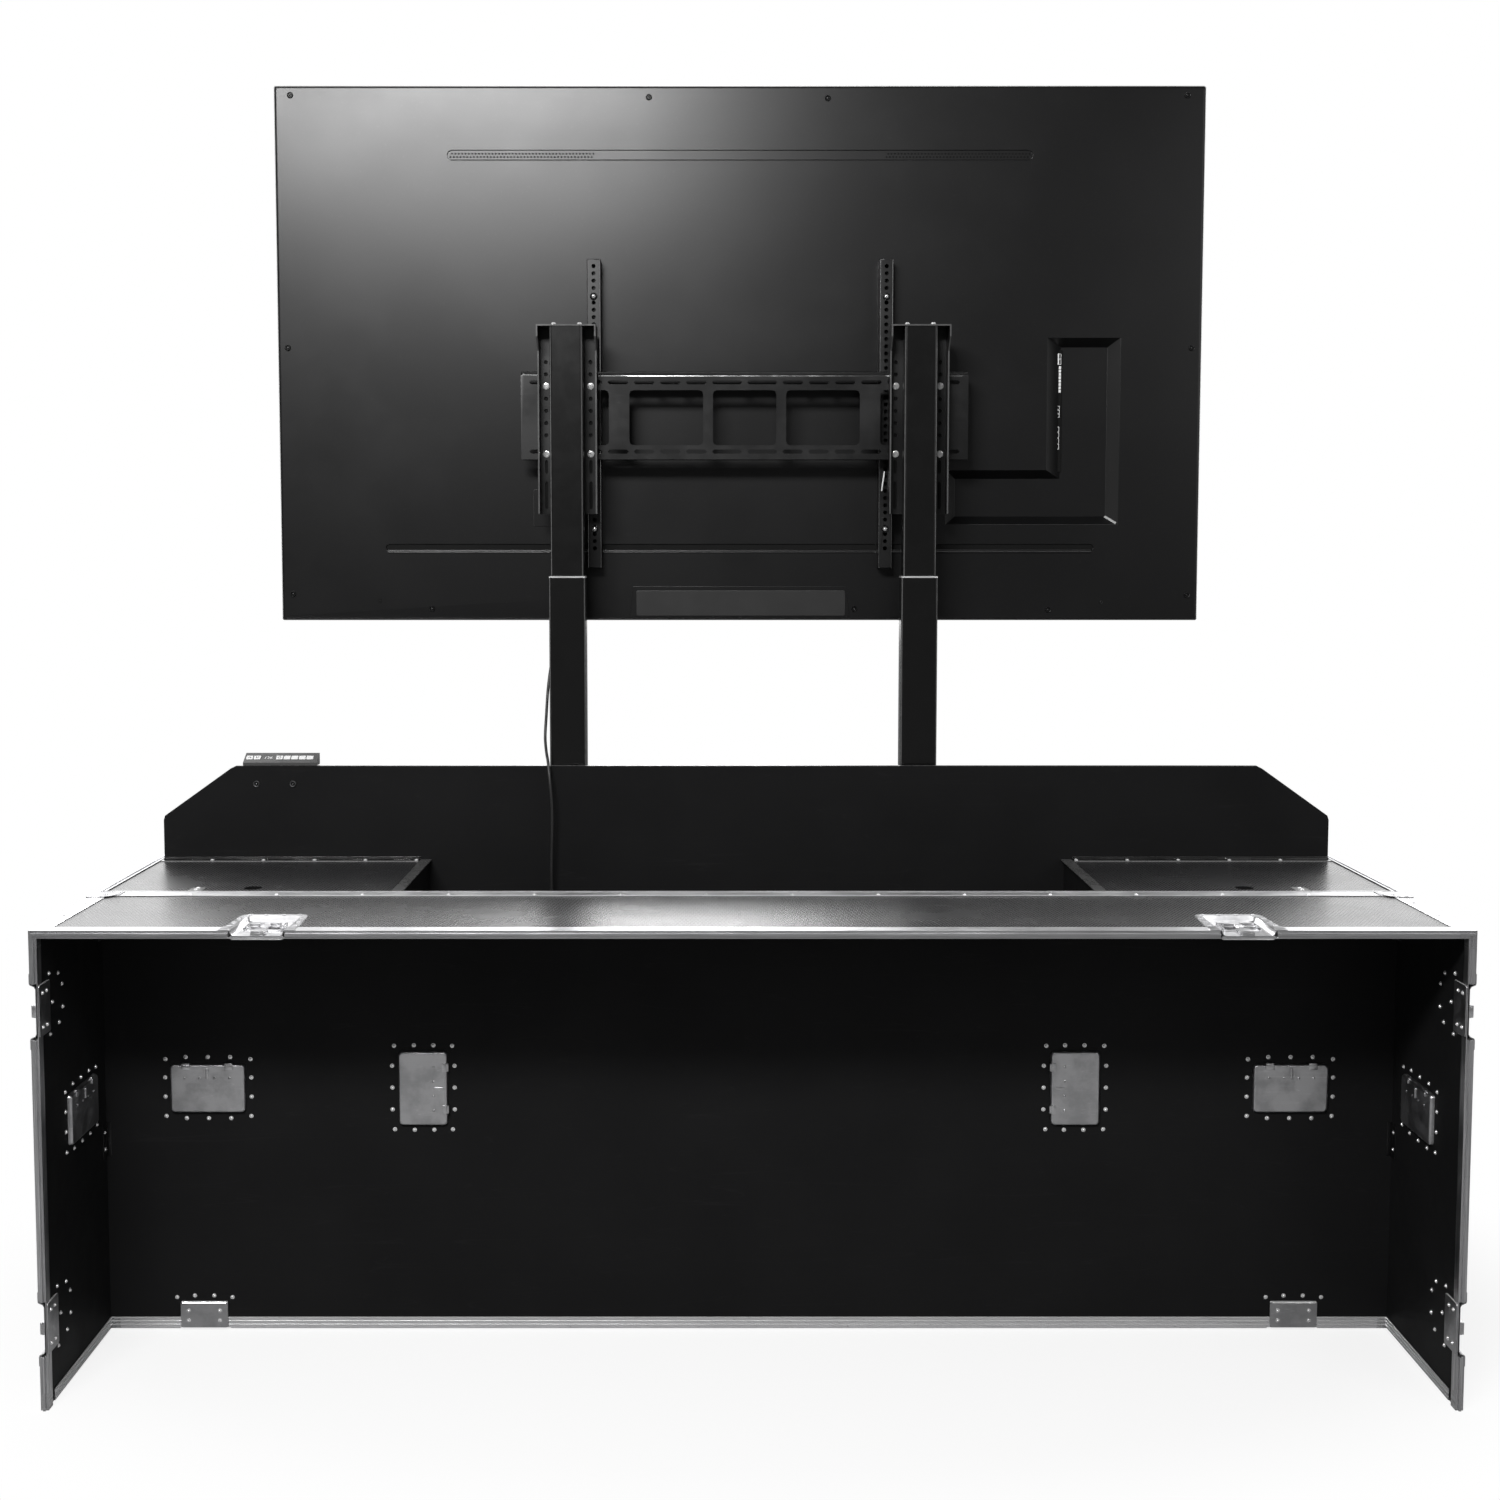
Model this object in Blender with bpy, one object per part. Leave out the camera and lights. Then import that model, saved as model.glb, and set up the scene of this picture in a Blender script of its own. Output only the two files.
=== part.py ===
"""Motorized TV lift case: a flight case base, its cover standing as a desk, and a telescopic TV lift.

The frame is +X to the operator's right, +Y from the operator to the audience, and +Z up. The origin is
the middle of the footprint, on the floor. The lift stands raised and the cover stands against the base.
"""

import math

import bmesh
import bpy
from mathutils import Matrix, Vector
from mathutils.geometry import interpolate_bezier

# The case as a whole
case_width = 2.400
case_height = 0.820
cover_depth = 0.339
base_depth = 0.820
ply = 0.010
gap = 0.0003
overrun = 0.004

# Aluminium angle edging and the castings on the corners
edging_leg = 0.030
edging_wall = 0.0015
casting_leg = 0.052
casting_wall = 0.0012
casting_seat = 0.0014

# Edge extrusions: a channel that holds a panel's edge, with a tongue or a groove
channel_inner_leg = 0.020
channel_web = 0.004
tongue_height = 0.0035
tongue_start = 0.0045
tongue_width = 0.0046
groove_web = 0.0065
groove_depth = 0.004
groove_start = 0.0042
groove_width = 0.0052

# Recessed handles
dish_length = 0.138
dish_height = 0.090
dish_round = 0.007
dish_wall = 0.0012
dish_bump = 0.008
flange_length = 0.172
flange_height = 0.127
flange_round = 0.012
bail_pivot_inset = 0.016
bail_reach = 0.050
bail_half_width = 0.046
bail_bar = 0.0032
bail_grip = 0.0050
bail_bend = 0.009
ear_width = 0.006
ear_height = 0.010
handle_height_share = 0.5585
flat_handle_inset = 0.202
upright_handle_inset = 0.599
end_handle_share = 0.585

# Recessed butterfly latches
latch_width = 0.122
latch_length = 0.140
latch_gap = 0.094
latch_corner = 0.014
latch_lip = 0.003
latch_pocket_inset = 0.016
latch_pocket_floor = 0.002
latch_base_length = 0.064
latch_base_width = 0.040
latch_base_wall = 0.0015
latch_back_length = 0.088
latch_back_height = 0.051
latch_back_wall = 0.002
knob_drum = 0.010
knob_drum_height = 0.0024
knob_wing_length = 0.056
knob_wing_width = 0.018
knob_wing_wall = 0.0028
top_latch_inset = 0.378
rear_latch_inset = 0.187
side_latch_inset = 0.137

# Inside the base
divider_front = 0.369
divider_rise = 0.190
divider_shoulder_rise = 0.091
divider_slope_run = 0.164
divider_round = 0.012
divider_play = 0.0145
bay_length = 0.548
partition_cap = 0.022
partition_cap_wall = 0.002
partition_cleat = 0.014
flap_drop = 0.002
flap_play = 0.0015
ledge_height = 0.016
ledge_width = 0.014
finger_hole = 0.034
finger_share = 0.503
finger_inset = 0.039
tab_share = 0.693
tab_width = 0.026
tab_length = 0.040
tab_wall = 0.0015
hinge_radius = 0.0030
hinge_pin = 0.0012
hinge_bore = 0.0016
hinge_leaf = 0.0015
hinge_leaf_height = 0.018
hinge_pitch = 0.0517
hinge_play = 0.0003
gland_height = 0.120
gland_radius = 0.010
gland_length = 0.008

# Keypad on the divider
keypad_inset = 0.089
keypad_width = 0.150
keypad_face = 0.0345
keypad_front_wall = 0.006
keypad_tilt = math.radians(29)
keypad_strap = 0.052
keypad_strap_width = 0.096
keypad_strap_wall = 0.002
button_width = 0.0135
button_height = 0.012
button_pitch = 0.0155
button_travel = 0.0008
button_proud = 0.0009
button_body = 0.0018
button_play = 0.0004
button_row_start = 0.0105
button_gap_count = 1.92
display_recess = 0.0006

# Control box between the columns
control_length = 0.300
control_width = 0.052
control_height = 0.060
control_bevel = 0.004

# Telescopic columns, from the fixed outer tube to the inner one
lift_x = -0.006
column_half_pitch = 0.3575
column_width = 0.0895
column_depth = 0.0675
stage_step = 0.0075
stage_play = 0.0004
tube_round = 0.006
column_behind_divider = 0.003
foot_length = 0.150
foot_wall = 0.006
foot_rear = 0.020
outer_tube_top = 0.610
second_tube_top = 0.985
third_tube_top = 1.392
inner_tube_top = 1.896
stage_length = 0.591

# Bracket that ties each inner tube to the wall plate
bracket_width = 0.120
bracket_wall = 0.003
bracket_length = 0.379
bracket_cheek_top = 0.062
bracket_cheek = 0.034
bracket_taper_start = 0.024
bracket_taper_end = 0.050
bracket_play = 0.0015
bracket_hole = 0.0034
bracket_hole_pitch = 0.0247
bracket_hole_count = 6
bracket_first_hole = 0.070
bracket_hole_x = 0.0455
bracket_slot_width = 0.0068
bracket_slot_start = 0.268
bracket_slot_length = 0.029
bracket_long_slot_start = 0.312
bracket_long_slot_length = 0.058

# Wall plate
plate_half = 0.458
plate_drop = 0.0873
plate_height = 0.180
plate_wall = 0.0025
plate_shift = 0.003
plate_top_slots = 0.023
plate_bottom_slots = 0.016
plate_slot_length = 0.0425
plate_slot_height = 0.0085
plate_slot_pitch = 0.0535
plate_slot_count = 7
plate_mid_slot_length = 0.061
plate_mid_slot_web = 0.011
window_height = 0.112
window_top = 0.039
window_round = 0.008
window_mid_width = 0.130
window_side_width = 0.151
window_end_width = 0.130
window_web = 0.020
window_wide_web = 0.042

# Television and its two hanging arms
tv_shift = -0.006
tv_hang = 0.513
tv_width = 1.927
tv_height = 1.104
tv_depth = 0.060
tv_back = 0.528
tv_screen = 0.012
tv_wall = 0.003
tv_edge = 0.008
tv_groove = 0.003
vent_drop = 0.132
vent_height = 0.021
vent_length = 1.212
lower_groove_rise = 0.145
lower_groove_height = 0.015
lower_groove_length = 1.485
terminal_depth = 0.026
terminal_inset = 0.1705
terminal_rise = 0.201
terminal_height = 0.387
terminal_column = 0.152
terminal_row = 0.113
terminal_length = 0.362
terminal_side_slope = 0.022
terminal_top_slope = 0.017
terminal_socket_slope = 0.032
foot_cover_half = 0.223
foot_cover_height = 0.063
foot_cover_proud = 0.0015
hatch_inset = 0.5325
hatch_rise = 0.198
hatch_width = 0.036
hatch_height = 0.075
arm_width = 0.028
arm_wall = 0.002
arm_depth = 0.036
arm_length = 0.635
arm_rise = 0.110
arm_spacing = 0.603
arm_hole = 0.003
arm_hole_pitch = 0.0297
arm_hole_count = 20

# Power lead: a cord's points stay as chosen
lead_diameter = 0.006
lead_foot_x = -0.370
lead_top_x = -0.372
lead_boss_rise = 0.053
lead_boss_radius = 0.007
lead_boss_length = 0.006
lead_straight = 0.020
lead_points = 78

sides_small = 10
sides_round = 16
corner_steps = 3

# Places that follow from the sizes above
inset = edging_wall + gap
half_width = case_width / 2
seam = casting_wall + gap
total_depth = tongue_height + cover_depth + seam + base_depth + casting_wall
cover_front = -total_depth / 2 + tongue_height
cover_rear = cover_front + cover_depth
base_front = cover_rear + seam
base_rear = base_front + base_depth
slot_inner = inset + ply + gap
channel_back = channel_web + gap
cover_foot = tongue_height
wall_inner = half_width - inset - ply
floor_top = ply
divider_y = base_front + divider_front
divider_half = half_width - divider_play
handle_height = case_height * handle_height_share
flat_handle_x = half_width - flat_handle_inset
upright_handle_x = half_width - upright_handle_inset
top_latch_x = half_width - top_latch_inset
rear_latch_x = half_width - rear_latch_inset
side_latch_low = cover_foot + side_latch_inset
side_latch_high = case_height - side_latch_inset
divider_top = case_height + divider_rise
divider_shoulder = case_height + divider_shoulder_rise
divider_top_half = half_width - divider_slope_run
partition_x = half_width - bay_length
keypad_x = keypad_inset - divider_top_half
tv_y = base_front + tv_back
column_y = divider_y + ply + column_behind_divider + column_depth / 2
web_front = column_y + column_depth / 2 + bracket_play
plate_front = web_front + bracket_wall + gap
arm_rear = tv_y - gap
bracket_top = inner_tube_top + gap + bracket_wall
plate_top = bracket_top - plate_drop
plate_x = lift_x + plate_shift
tv_x = lift_x + tv_shift
tv_bottom = plate_top - tv_hang
tv_top = tv_bottom + tv_height
tv_left = tv_x - tv_width / 2
tv_right = tv_x + tv_width / 2
arm_bottom = tv_bottom + arm_rise
arm_top = arm_bottom + arm_length
lead_top_z = tv_bottom + lead_boss_rise

FINISHES = {
    "laminate": ((0.012, 0.012, 0.013), 0.45, 0.0),
    "inside_board": ((0.006, 0.006, 0.007), 0.6, 0.0),
    "aluminium": ((0.62, 0.62, 0.63), 0.35, 1.0),
    "zinc_steel": ((0.50, 0.50, 0.52), 0.35, 1.0),
    "black_steel": ((0.020, 0.020, 0.022), 0.42, 0.3),
    "tv_plastic": ((0.025, 0.025, 0.027), 0.38, 0.0),
    "tv_glass": ((0.004, 0.004, 0.005), 0.08, 0.0),
    "keypad_plastic": ((0.035, 0.035, 0.037), 0.45, 0.0),
    "button_white": ((0.70, 0.70, 0.70), 0.4, 0.0),
    "lead_black": ((0.012, 0.012, 0.012), 0.5, 0.0),
}


def clear_scene():
    for obj in list(bpy.data.objects):
        bpy.data.objects.remove(obj, do_unlink=True)


def finish(obj, slot):
    """Gives obj a material of its own in one of the case's finishes."""
    colour, roughness, metallic = FINISHES[slot]
    material = bpy.data.materials.new(f"{obj.name}_{slot}")
    material.use_nodes = True
    shader = material.node_tree.nodes["Principled BSDF"]
    shader.inputs["Base Color"].default_value = (*colour, 1)
    shader.inputs["Roughness"].default_value = roughness
    shader.inputs["Metallic"].default_value = metallic
    obj.data.materials.clear()
    obj.data.materials.append(material)


# Shapes are pairs of a list of points and a list of faces
def box(low, high):
    x, y, z = zip(low, high)
    points = [(x[i], y[j], z[k]) for i in (0, 1) for j in (0, 1) for k in (0, 1)]
    faces = [(0, 1, 3, 2), (4, 6, 7, 5), (0, 4, 5, 1), (2, 3, 7, 6), (0, 2, 6, 4), (1, 5, 7, 3)]
    return points, faces


def prism(outline, axis, low, high):
    """An outline drawn across an axis, run from low to high along it."""
    place = {
        "X": lambda a, b, t: (t, a, b),
        "Y": lambda a, b, t: (a, t, b),
        "Z": lambda a, b, t: (a, b, t),
    }[axis]
    n = len(outline)
    points = [place(a, b, t) for t in (low, high) for a, b in outline]
    faces = [tuple(range(n)), tuple(range(n, 2 * n))]
    faces += [(i, (i + 1) % n, n + (i + 1) % n, n + i) for i in range(n)]
    return points, faces


def circle(centre_a, centre_b, radius, sides=sides_round):
    turn = 2 * math.pi / sides
    return [
        (centre_a + radius * math.cos((i + 0.5) * turn), centre_b + radius * math.sin((i + 0.5) * turn))
        for i in range(sides)
    ]


def rounded(low_a, low_b, high_a, high_b, radius, steps=corner_steps):
    """A rectangle with round corners."""
    corners = (
        (high_a - radius, high_b - radius, 0),
        (low_a + radius, high_b - radius, 1),
        (low_a + radius, low_b + radius, 2),
        (high_a - radius, low_b + radius, 3),
    )
    quarter = math.pi / 2
    return [
        (a + radius * math.cos(quarter * (q + i / steps)), b + radius * math.sin(quarter * (q + i / steps)))
        for a, b, q in corners
        for i in range(steps + 1)
    ]


def loft(rings):
    """A skin through rings of points, closed at both ends."""
    n = len(rings[0])
    points = [p for ring in rings for p in ring]
    faces = [tuple(range(n)), tuple(range(len(points) - n, len(points)))]
    for i in range(len(rings) - 1):
        a, b = i * n, (i + 1) * n
        faces += [(a + j, a + (j + 1) % n, b + (j + 1) % n, b + j) for j in range(n)]
    return points, faces


def moved(shape, matrix):
    points, faces = shape
    return [tuple(matrix @ Vector(p)) for p in points], faces


def sweep(path, inward, across, profile, closed=False):
    """A profile of (inward, across) pairs run along a path, mitred at its corners."""
    n = len(profile)
    points = [
        tuple(Vector(p) + Vector(side) * u + Vector(across) * v)
        for p, side in zip(path, inward)
        for u, v in profile
    ]
    count = len(path)
    faces = []
    for i in range(count if closed else count - 1):
        a, b = i * n, (i + 1) % count * n
        faces += [(a + j, a + (j + 1) % n, b + (j + 1) % n, b + j) for j in range(n)]
    if not closed:
        faces += [tuple(range(n)), tuple(range((count - 1) * n, count * n))]
    return points, faces


def tube(path, radii, sides=sides_small):
    """A round bar along a flat path in the XY plane, with a radius at each point."""
    path = [Vector((*p, 0)) for p in path]
    rings = []
    for i, p in enumerate(path):
        before = (p - path[i - 1]).normalized() if i else (path[1] - p).normalized()
        after = (path[i + 1] - p).normalized() if i + 1 < len(path) else before
        along = (before + after).normalized()
        side = Vector((-along.y, along.x, 0)) / max(along.dot(before), 0.5)
        up = Vector((0, 0, 1))
        turn = 2 * math.pi / sides
        spokes = [side * math.cos(k * turn) + up * math.sin(k * turn) for k in range(sides)]
        rings.append([p + radii[i] * spoke for spoke in spokes])
    points = [tuple(p) for ring in rings for p in ring]
    faces = [tuple(range(sides)), tuple(range(len(points) - sides, len(points)))]
    for i in range(len(rings) - 1):
        a, b = i * sides, (i + 1) * sides
        faces += [(a + k, a + (k + 1) % sides, b + (k + 1) % sides, b + k) for k in range(sides)]
    return points, faces


def mesh_of(name, shape):
    mesh = bpy.data.meshes.new(name)
    mesh.from_pydata(shape[0], [], shape[1])
    work = bmesh.new()
    work.from_mesh(mesh)
    bmesh.ops.recalc_face_normals(work, faces=work.faces)
    work.to_mesh(mesh)
    work.free()
    return mesh


def solid(name, shape, slot):
    obj = bpy.data.objects.new(name, mesh_of(name, shape))
    bpy.context.scene.collection.objects.link(obj)
    finish(obj, slot)
    return obj


def combine(obj, shape, operation):
    """Adds a shape to an object's solid, or cuts it out."""
    other = bpy.data.objects.new("tool", mesh_of("tool", shape))
    bpy.context.scene.collection.objects.link(other)
    modifier = obj.modifiers.new("combine", "BOOLEAN")
    modifier.object = other
    modifier.operation = operation
    bpy.context.view_layer.update()
    evaluated = obj.evaluated_get(bpy.context.evaluated_depsgraph_get())
    mesh = bpy.data.meshes.new_from_object(evaluated)
    obj.modifiers.remove(modifier)
    slot = obj.data.materials[0]
    obj.data = mesh
    obj.data.materials.clear()
    obj.data.materials.append(slot)
    bpy.data.objects.remove(other, do_unlink=True)


def joined(shapes):
    """Shapes that lie apart, as one."""
    points, faces = [], []
    for more_points, more_faces in shapes:
        start = len(points)
        points += more_points
        faces += [tuple(start + i for i in face) for face in more_faces]
    return points, faces


def fuse(obj, *shapes):
    for shape in shapes:
        combine(obj, shape, "UNION")


def cut(obj, *shapes):
    """Cuts out shapes that lie apart from each other."""
    combine(obj, joined(shapes), "DIFFERENCE")


def shade_round(obj):
    obj.data.shade_smooth()
    obj.data.set_sharp_from_angle(angle=math.radians(40))


def frame(origin, x_axis, y_axis):
    """The matrix of a frame with these axes, whose Z completes them."""
    x, y = Vector(x_axis), Vector(y_axis)
    z = x.cross(y)
    return Matrix.Translation(origin) @ Matrix((x, y, z)).transposed().to_4x4()


def mirror_x(outline):
    return [(-a, b) for a, b in reversed(outline)]


# Frames on the cover's panels, with Z pointing out of the case
def rear_frame(x, z, turn=0.0):
    return frame((x, cover_rear, z), (-1, 0, 0), (0, 0, 1)) @ Matrix.Rotation(turn, 4, "Z")


def side_frame(side, y, z):
    x_axis = (0, side, 0)
    return frame((side * half_width, y, z), x_axis, (0, 0, 1))


def latch_frames():
    """Each latch's name, panel and frame: X along the edge, Y in from the edge, Z out of the case."""
    found = []
    for side, word in ((-1, "left"), (1, "right")):
        top = frame((side * top_latch_x, cover_front, case_height), (1, 0, 0), (0, 1, 0))
        found.append((f"top_latch_knob_{word}", "cover_top_panel", top))
        rear = frame((side * rear_latch_x, cover_rear, cover_foot), (-1, 0, 0), (0, 0, 1))
        found.append((f"rear_latch_knob_{word}", "cover_back_panel", rear))
        for level, height in (("lower", side_latch_low), ("upper", side_latch_high)):
            edge = frame((side * half_width, cover_front, height), (0, 0, -side), (0, 1, 0))
            found.append((f"{word}_latch_knob_{level}", f"cover_{word}_panel", edge))
    return found


def handle_frames():
    """Each handle's name, panel and frame: X along the pivot, Y towards it, Z out of the case."""
    found = []
    quarter = math.pi / 2
    for side, word in ((-1, "left"), (1, "right")):
        flat = rear_frame(side * flat_handle_x, handle_height)
        found.append((f"rear_handle_{word}_outer", "cover_back_panel", flat))
        upright = rear_frame(side * upright_handle_x, handle_height, -side * quarter)
        found.append((f"rear_handle_{word}_inner", "cover_back_panel", upright))
        end = side_frame(side, cover_front + cover_depth * end_handle_share, handle_height)
        found.append((f"end_handle_{word}", f"cover_{word}_panel", end))
    return found


# Where the parts of a dish lie, out from the envelope
panel_inner = -(inset + ply)
dish_floor = panel_inner - dish_bump
bail_pivot_y = dish_height / 2 - bail_pivot_inset
bail_pivot_z = dish_floor + dish_wall + bail_grip + 4 * gap


def add_dish(panel, place):
    """A pressed dish let into a panel, with its flange outside and ears for the bail."""
    half_l, half_h = dish_length / 2, dish_height / 2
    flange_l, flange_h = flange_length / 2, flange_height / 2
    flange = rounded(-flange_l, -flange_h, flange_l, flange_h, flange_round)
    body = rounded(-half_l, -half_h, half_l, half_h, dish_round)
    w = dish_wall
    pocket = rounded(-half_l + w, -half_h + w, half_l - w, half_h - w, dish_round - w)
    fuse(panel, moved(prism(flange, "Z", -inset - ply / 2, -inset + dish_wall), place))
    fuse(panel, moved(prism(body, "Z", dish_floor, -inset - ply / 2), place))
    cut(panel, moved(prism(pocket, "Z", dish_floor + w, overrun), place))
    ear_in = bail_half_width + bail_bar + gap
    for side in (-1, 1):
        near, far = sorted((side * ear_in, side * (ear_in + ear_width)))
        low, high = bail_pivot_y - ear_width, bail_pivot_y + ear_width
        ear = box((near, low, dish_floor + w / 2), (far, high, dish_floor + w + ear_height))
        fuse(panel, moved(ear, place))


def bail(name, place):
    """A spring handle's bar, flat in its dish, with its origin on the pivot."""
    bend, reach, half = bail_bend, bail_reach, bail_half_width
    grip = half - bail_bend - bail_grip
    path = [(-half, 0), (-half, bend - reach), (bend / 3 - half, bend / 3 - reach), (bend - half, -reach)]
    path += [(-grip, -reach), (-grip + bail_bar, -reach), (grip - bail_bar, -reach), (grip, -reach)]
    path += [(half - bend, -reach), (half - bend / 3, -reach + bend / 3), (half, -reach + bend), (half, 0)]
    radii = [bail_bar] * 4 + [bail_bar, bail_grip, bail_grip, bail_bar] + [bail_bar] * 4
    obj = solid(name, tube(path, radii), "zinc_steel")
    for side in (-1, 1):
        low, high = sorted((side * (half - bail_bar), side * (half + bail_bar)))
        fuse(obj, prism(circle(0, 0, bail_bar * 1.4, sides_small), "X", low, high))
    obj.matrix_world = place @ Matrix.Translation((0, bail_pivot_y, bail_pivot_z))
    shade_round(obj)
    return obj


latch_floor = panel_inner + latch_pocket_floor
knob_y = latch_lip + (latch_length - latch_pocket_inset - latch_lip) / 2


def add_latch(panel, rims, place):
    """A latch dish at a panel's edge: open at its front, lapped over the extrusion, on a backing plate."""
    half, half_gap = latch_width / 2, latch_gap / 2
    notch_high = (half_gap, edging_leg + overrun, overrun)
    notch = box((-half_gap, -tongue_height - overrun, -slot_inner), notch_high)
    for rim in rims:
        cut(rim, moved(notch, place))
    shoulder = edging_leg + 2 * gap
    throat = half_gap - gap
    k = latch_corner
    outline = [(-throat, gap), (throat, gap), (throat, shoulder), (half, shoulder), (half, latch_length - k)]
    outline += [(half - k, latch_length), (-half + k, latch_length), (-half, latch_length - k)]
    outline += [(-half, shoulder), (-throat, shoulder)]
    fuse(panel, moved(prism(outline, "Z", -inset - ply / 2, -inset + dish_wall), place))
    lip = box((-throat, gap, panel_inner), (throat, channel_back + overrun, -inset - ply / 4))
    fuse(panel, moved(lip, place))
    step = shoulder + latch_lip
    for near, far in ((-half, -throat), (throat, half)):
        fuse(panel, moved(box((near, shoulder, -inset), (far, step, casting_wall)), place))
        fuse(panel, moved(box((near, gap, gap), (far, step, casting_wall)), place))
    inner = half_gap - latch_lip
    pocket = rounded(-inner, -latch_lip, inner, latch_length - latch_pocket_inset, latch_lip)
    cut(panel, moved(prism(pocket, "Z", latch_floor, overrun), place))
    base_half, base_reach = latch_base_width / 2, latch_base_length / 2
    base = rounded(-base_half, knob_y - base_reach, base_half, knob_y + base_reach, latch_lip)
    base_low = latch_floor - latch_pocket_floor / 2
    fuse(panel, moved(prism(base, "Z", base_low, latch_floor + latch_base_wall), place))
    back_half = latch_back_length / 2
    leg_inner = -(slot_inner + edging_wall + gap)
    plate_low = leg_inner - latch_back_wall
    spacer_start = channel_inner_leg + 2 * gap
    spacer_high = (back_half, latch_back_height, panel_inner + overrun / 4)
    fuse(panel, moved(box((-back_half, spacer_start, plate_low), spacer_high), place))
    plate = box((-back_half, gap, plate_low), (back_half, latch_back_height - 2 * gap, leg_inner))
    fuse(panel, moved(plate, place))


def knob(name, place):
    """A latch's butterfly: a drum under two wings, turning on its middle."""
    foot = latch_floor + latch_base_wall + gap
    drum_top = foot + knob_drum_height
    obj = solid(name, prism(circle(0, 0, knob_drum), "Z", 0, drum_top - foot), "zinc_steel")
    half_l, half_w = knob_wing_length / 2, knob_wing_width / 2
    wing = [(-half_l, -half_w), (-knob_drum, -half_w / 2), (knob_drum, -half_w / 2), (half_l, -half_w)]
    wing += [(half_l, half_w), (knob_drum, half_w / 2), (-knob_drum, half_w / 2), (-half_l, half_w)]
    fuse(obj, prism(wing, "Z", knob_drum_height - gap, knob_drum_height + knob_wing_wall))
    obj.matrix_world = place @ Matrix.Translation((0, knob_y, foot))
    return obj


def tongue_profile():
    """The tongue extrusion's section: (in from the outer face, back from the edge)."""
    leg, wall = edging_leg, edging_wall
    end = slot_inner + wall
    tongue_end = tongue_start + tongue_width
    return [
        (0, 0), (tongue_start, 0), (tongue_start, -tongue_height), (tongue_end, -tongue_height),
        (tongue_end, 0), (end, 0), (end, channel_inner_leg), (slot_inner, channel_inner_leg),
        (slot_inner, channel_web), (wall, channel_web), (wall, leg), (0, leg),
    ]


def groove_profile():
    """The groove extrusion's section, which the tongue seats in."""
    leg, wall = edging_leg, edging_wall
    end = slot_inner + wall
    groove_end = groove_start + groove_width
    return [
        (0, 0), (groove_start, 0), (groove_start, groove_depth), (groove_end, groove_depth),
        (groove_end, 0), (end, 0), (end, channel_inner_leg), (slot_inner, channel_inner_leg),
        (slot_inner, groove_web), (wall, groove_web), (wall, leg), (0, leg),
    ]


def angle_profile(leg_a=edging_leg, leg_b=edging_leg):
    wall = edging_wall
    return [(0, 0), (leg_a, 0), (leg_a, wall), (wall, wall), (wall, leg_b), (0, leg_b)]


def casting(corner, towards, proud):
    """A corner casting that wraps a corner, proud of it by so much along each axis."""
    out = [c - t * p for c, t, p in zip(corner, towards, proud)]
    far = [c + t * casting_leg for c, t in zip(corner, towards)]
    seat = [c + t * casting_seat for c, t in zip(corner, towards)]
    far_cut = [c + t * (casting_leg + overrun) for c, t in zip(corner, towards)]
    outer = box([min(a, b) for a, b in zip(out, far)], [max(a, b) for a, b in zip(out, far)])
    inner = box([min(a, b) for a, b in zip(seat, far_cut)], [max(a, b) for a, b in zip(seat, far_cut)])
    return outer, inner


def add_casting(obj, corner, towards, proud=(casting_wall,) * 3):
    outer, inner = casting(corner, towards, proud)
    piece = solid("casting_blank", outer, "aluminium")
    cut(piece, inner)
    fuse(obj, ([tuple(v.co) for v in piece.data.vertices], [tuple(p.vertices) for p in piece.data.polygons]))
    bpy.data.objects.remove(piece, do_unlink=True)


def cover_panels():
    edge = half_width - inset
    under_top = case_height - inset - ply
    front = cover_front + channel_back
    foot = cover_foot + channel_back
    rear = cover_rear - inset
    top = solid("cover_top_panel", box((-edge, front, under_top), (edge, rear, under_top + ply)), "laminate")
    back_low, back_high = (-edge, rear - ply, foot), (edge, rear, under_top - gap)
    back = solid("cover_back_panel", box(back_low, back_high), "inside_board")
    panels = {"cover_top_panel": top, "cover_back_panel": back}
    for side, word in ((-1, "left"), (1, "right")):
        near, far = sorted((side * edge, side * wall_inner))
        low, high = (near, front, foot), (far, rear - ply - gap, under_top - gap)
        panels[f"cover_{word}_panel"] = solid(f"cover_{word}_panel", box(low, high), "inside_board")
    return panels


def cover_rims():
    """The extrusions round the cover's open front, and along its foot."""
    x, top = half_width, case_height
    path = [(-x, cover_front, 0), (-x, cover_front, top), (x, cover_front, top), (x, cover_front, 0)]
    inward = [(1, 0, 0), (1, 0, -1), (-1, 0, -1), (-1, 0, 0)]
    front = solid("cover_front_rim", sweep(path, inward, (0, 1, 0), tongue_profile()), "aluminium")
    start = cover_front + edging_leg + gap
    path = [(-x, start), (-x, cover_rear), (x, cover_rear), (x, start)]
    path = [(*place, cover_foot) for place in path]
    inward = [(1, 0, 0), (1, -1, 0), (-1, -1, 0), (-1, 0, 0)]
    bottom = solid("cover_bottom_rim", sweep(path, inward, (0, 0, 1), tongue_profile()), "aluminium")
    return front, bottom


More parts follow.
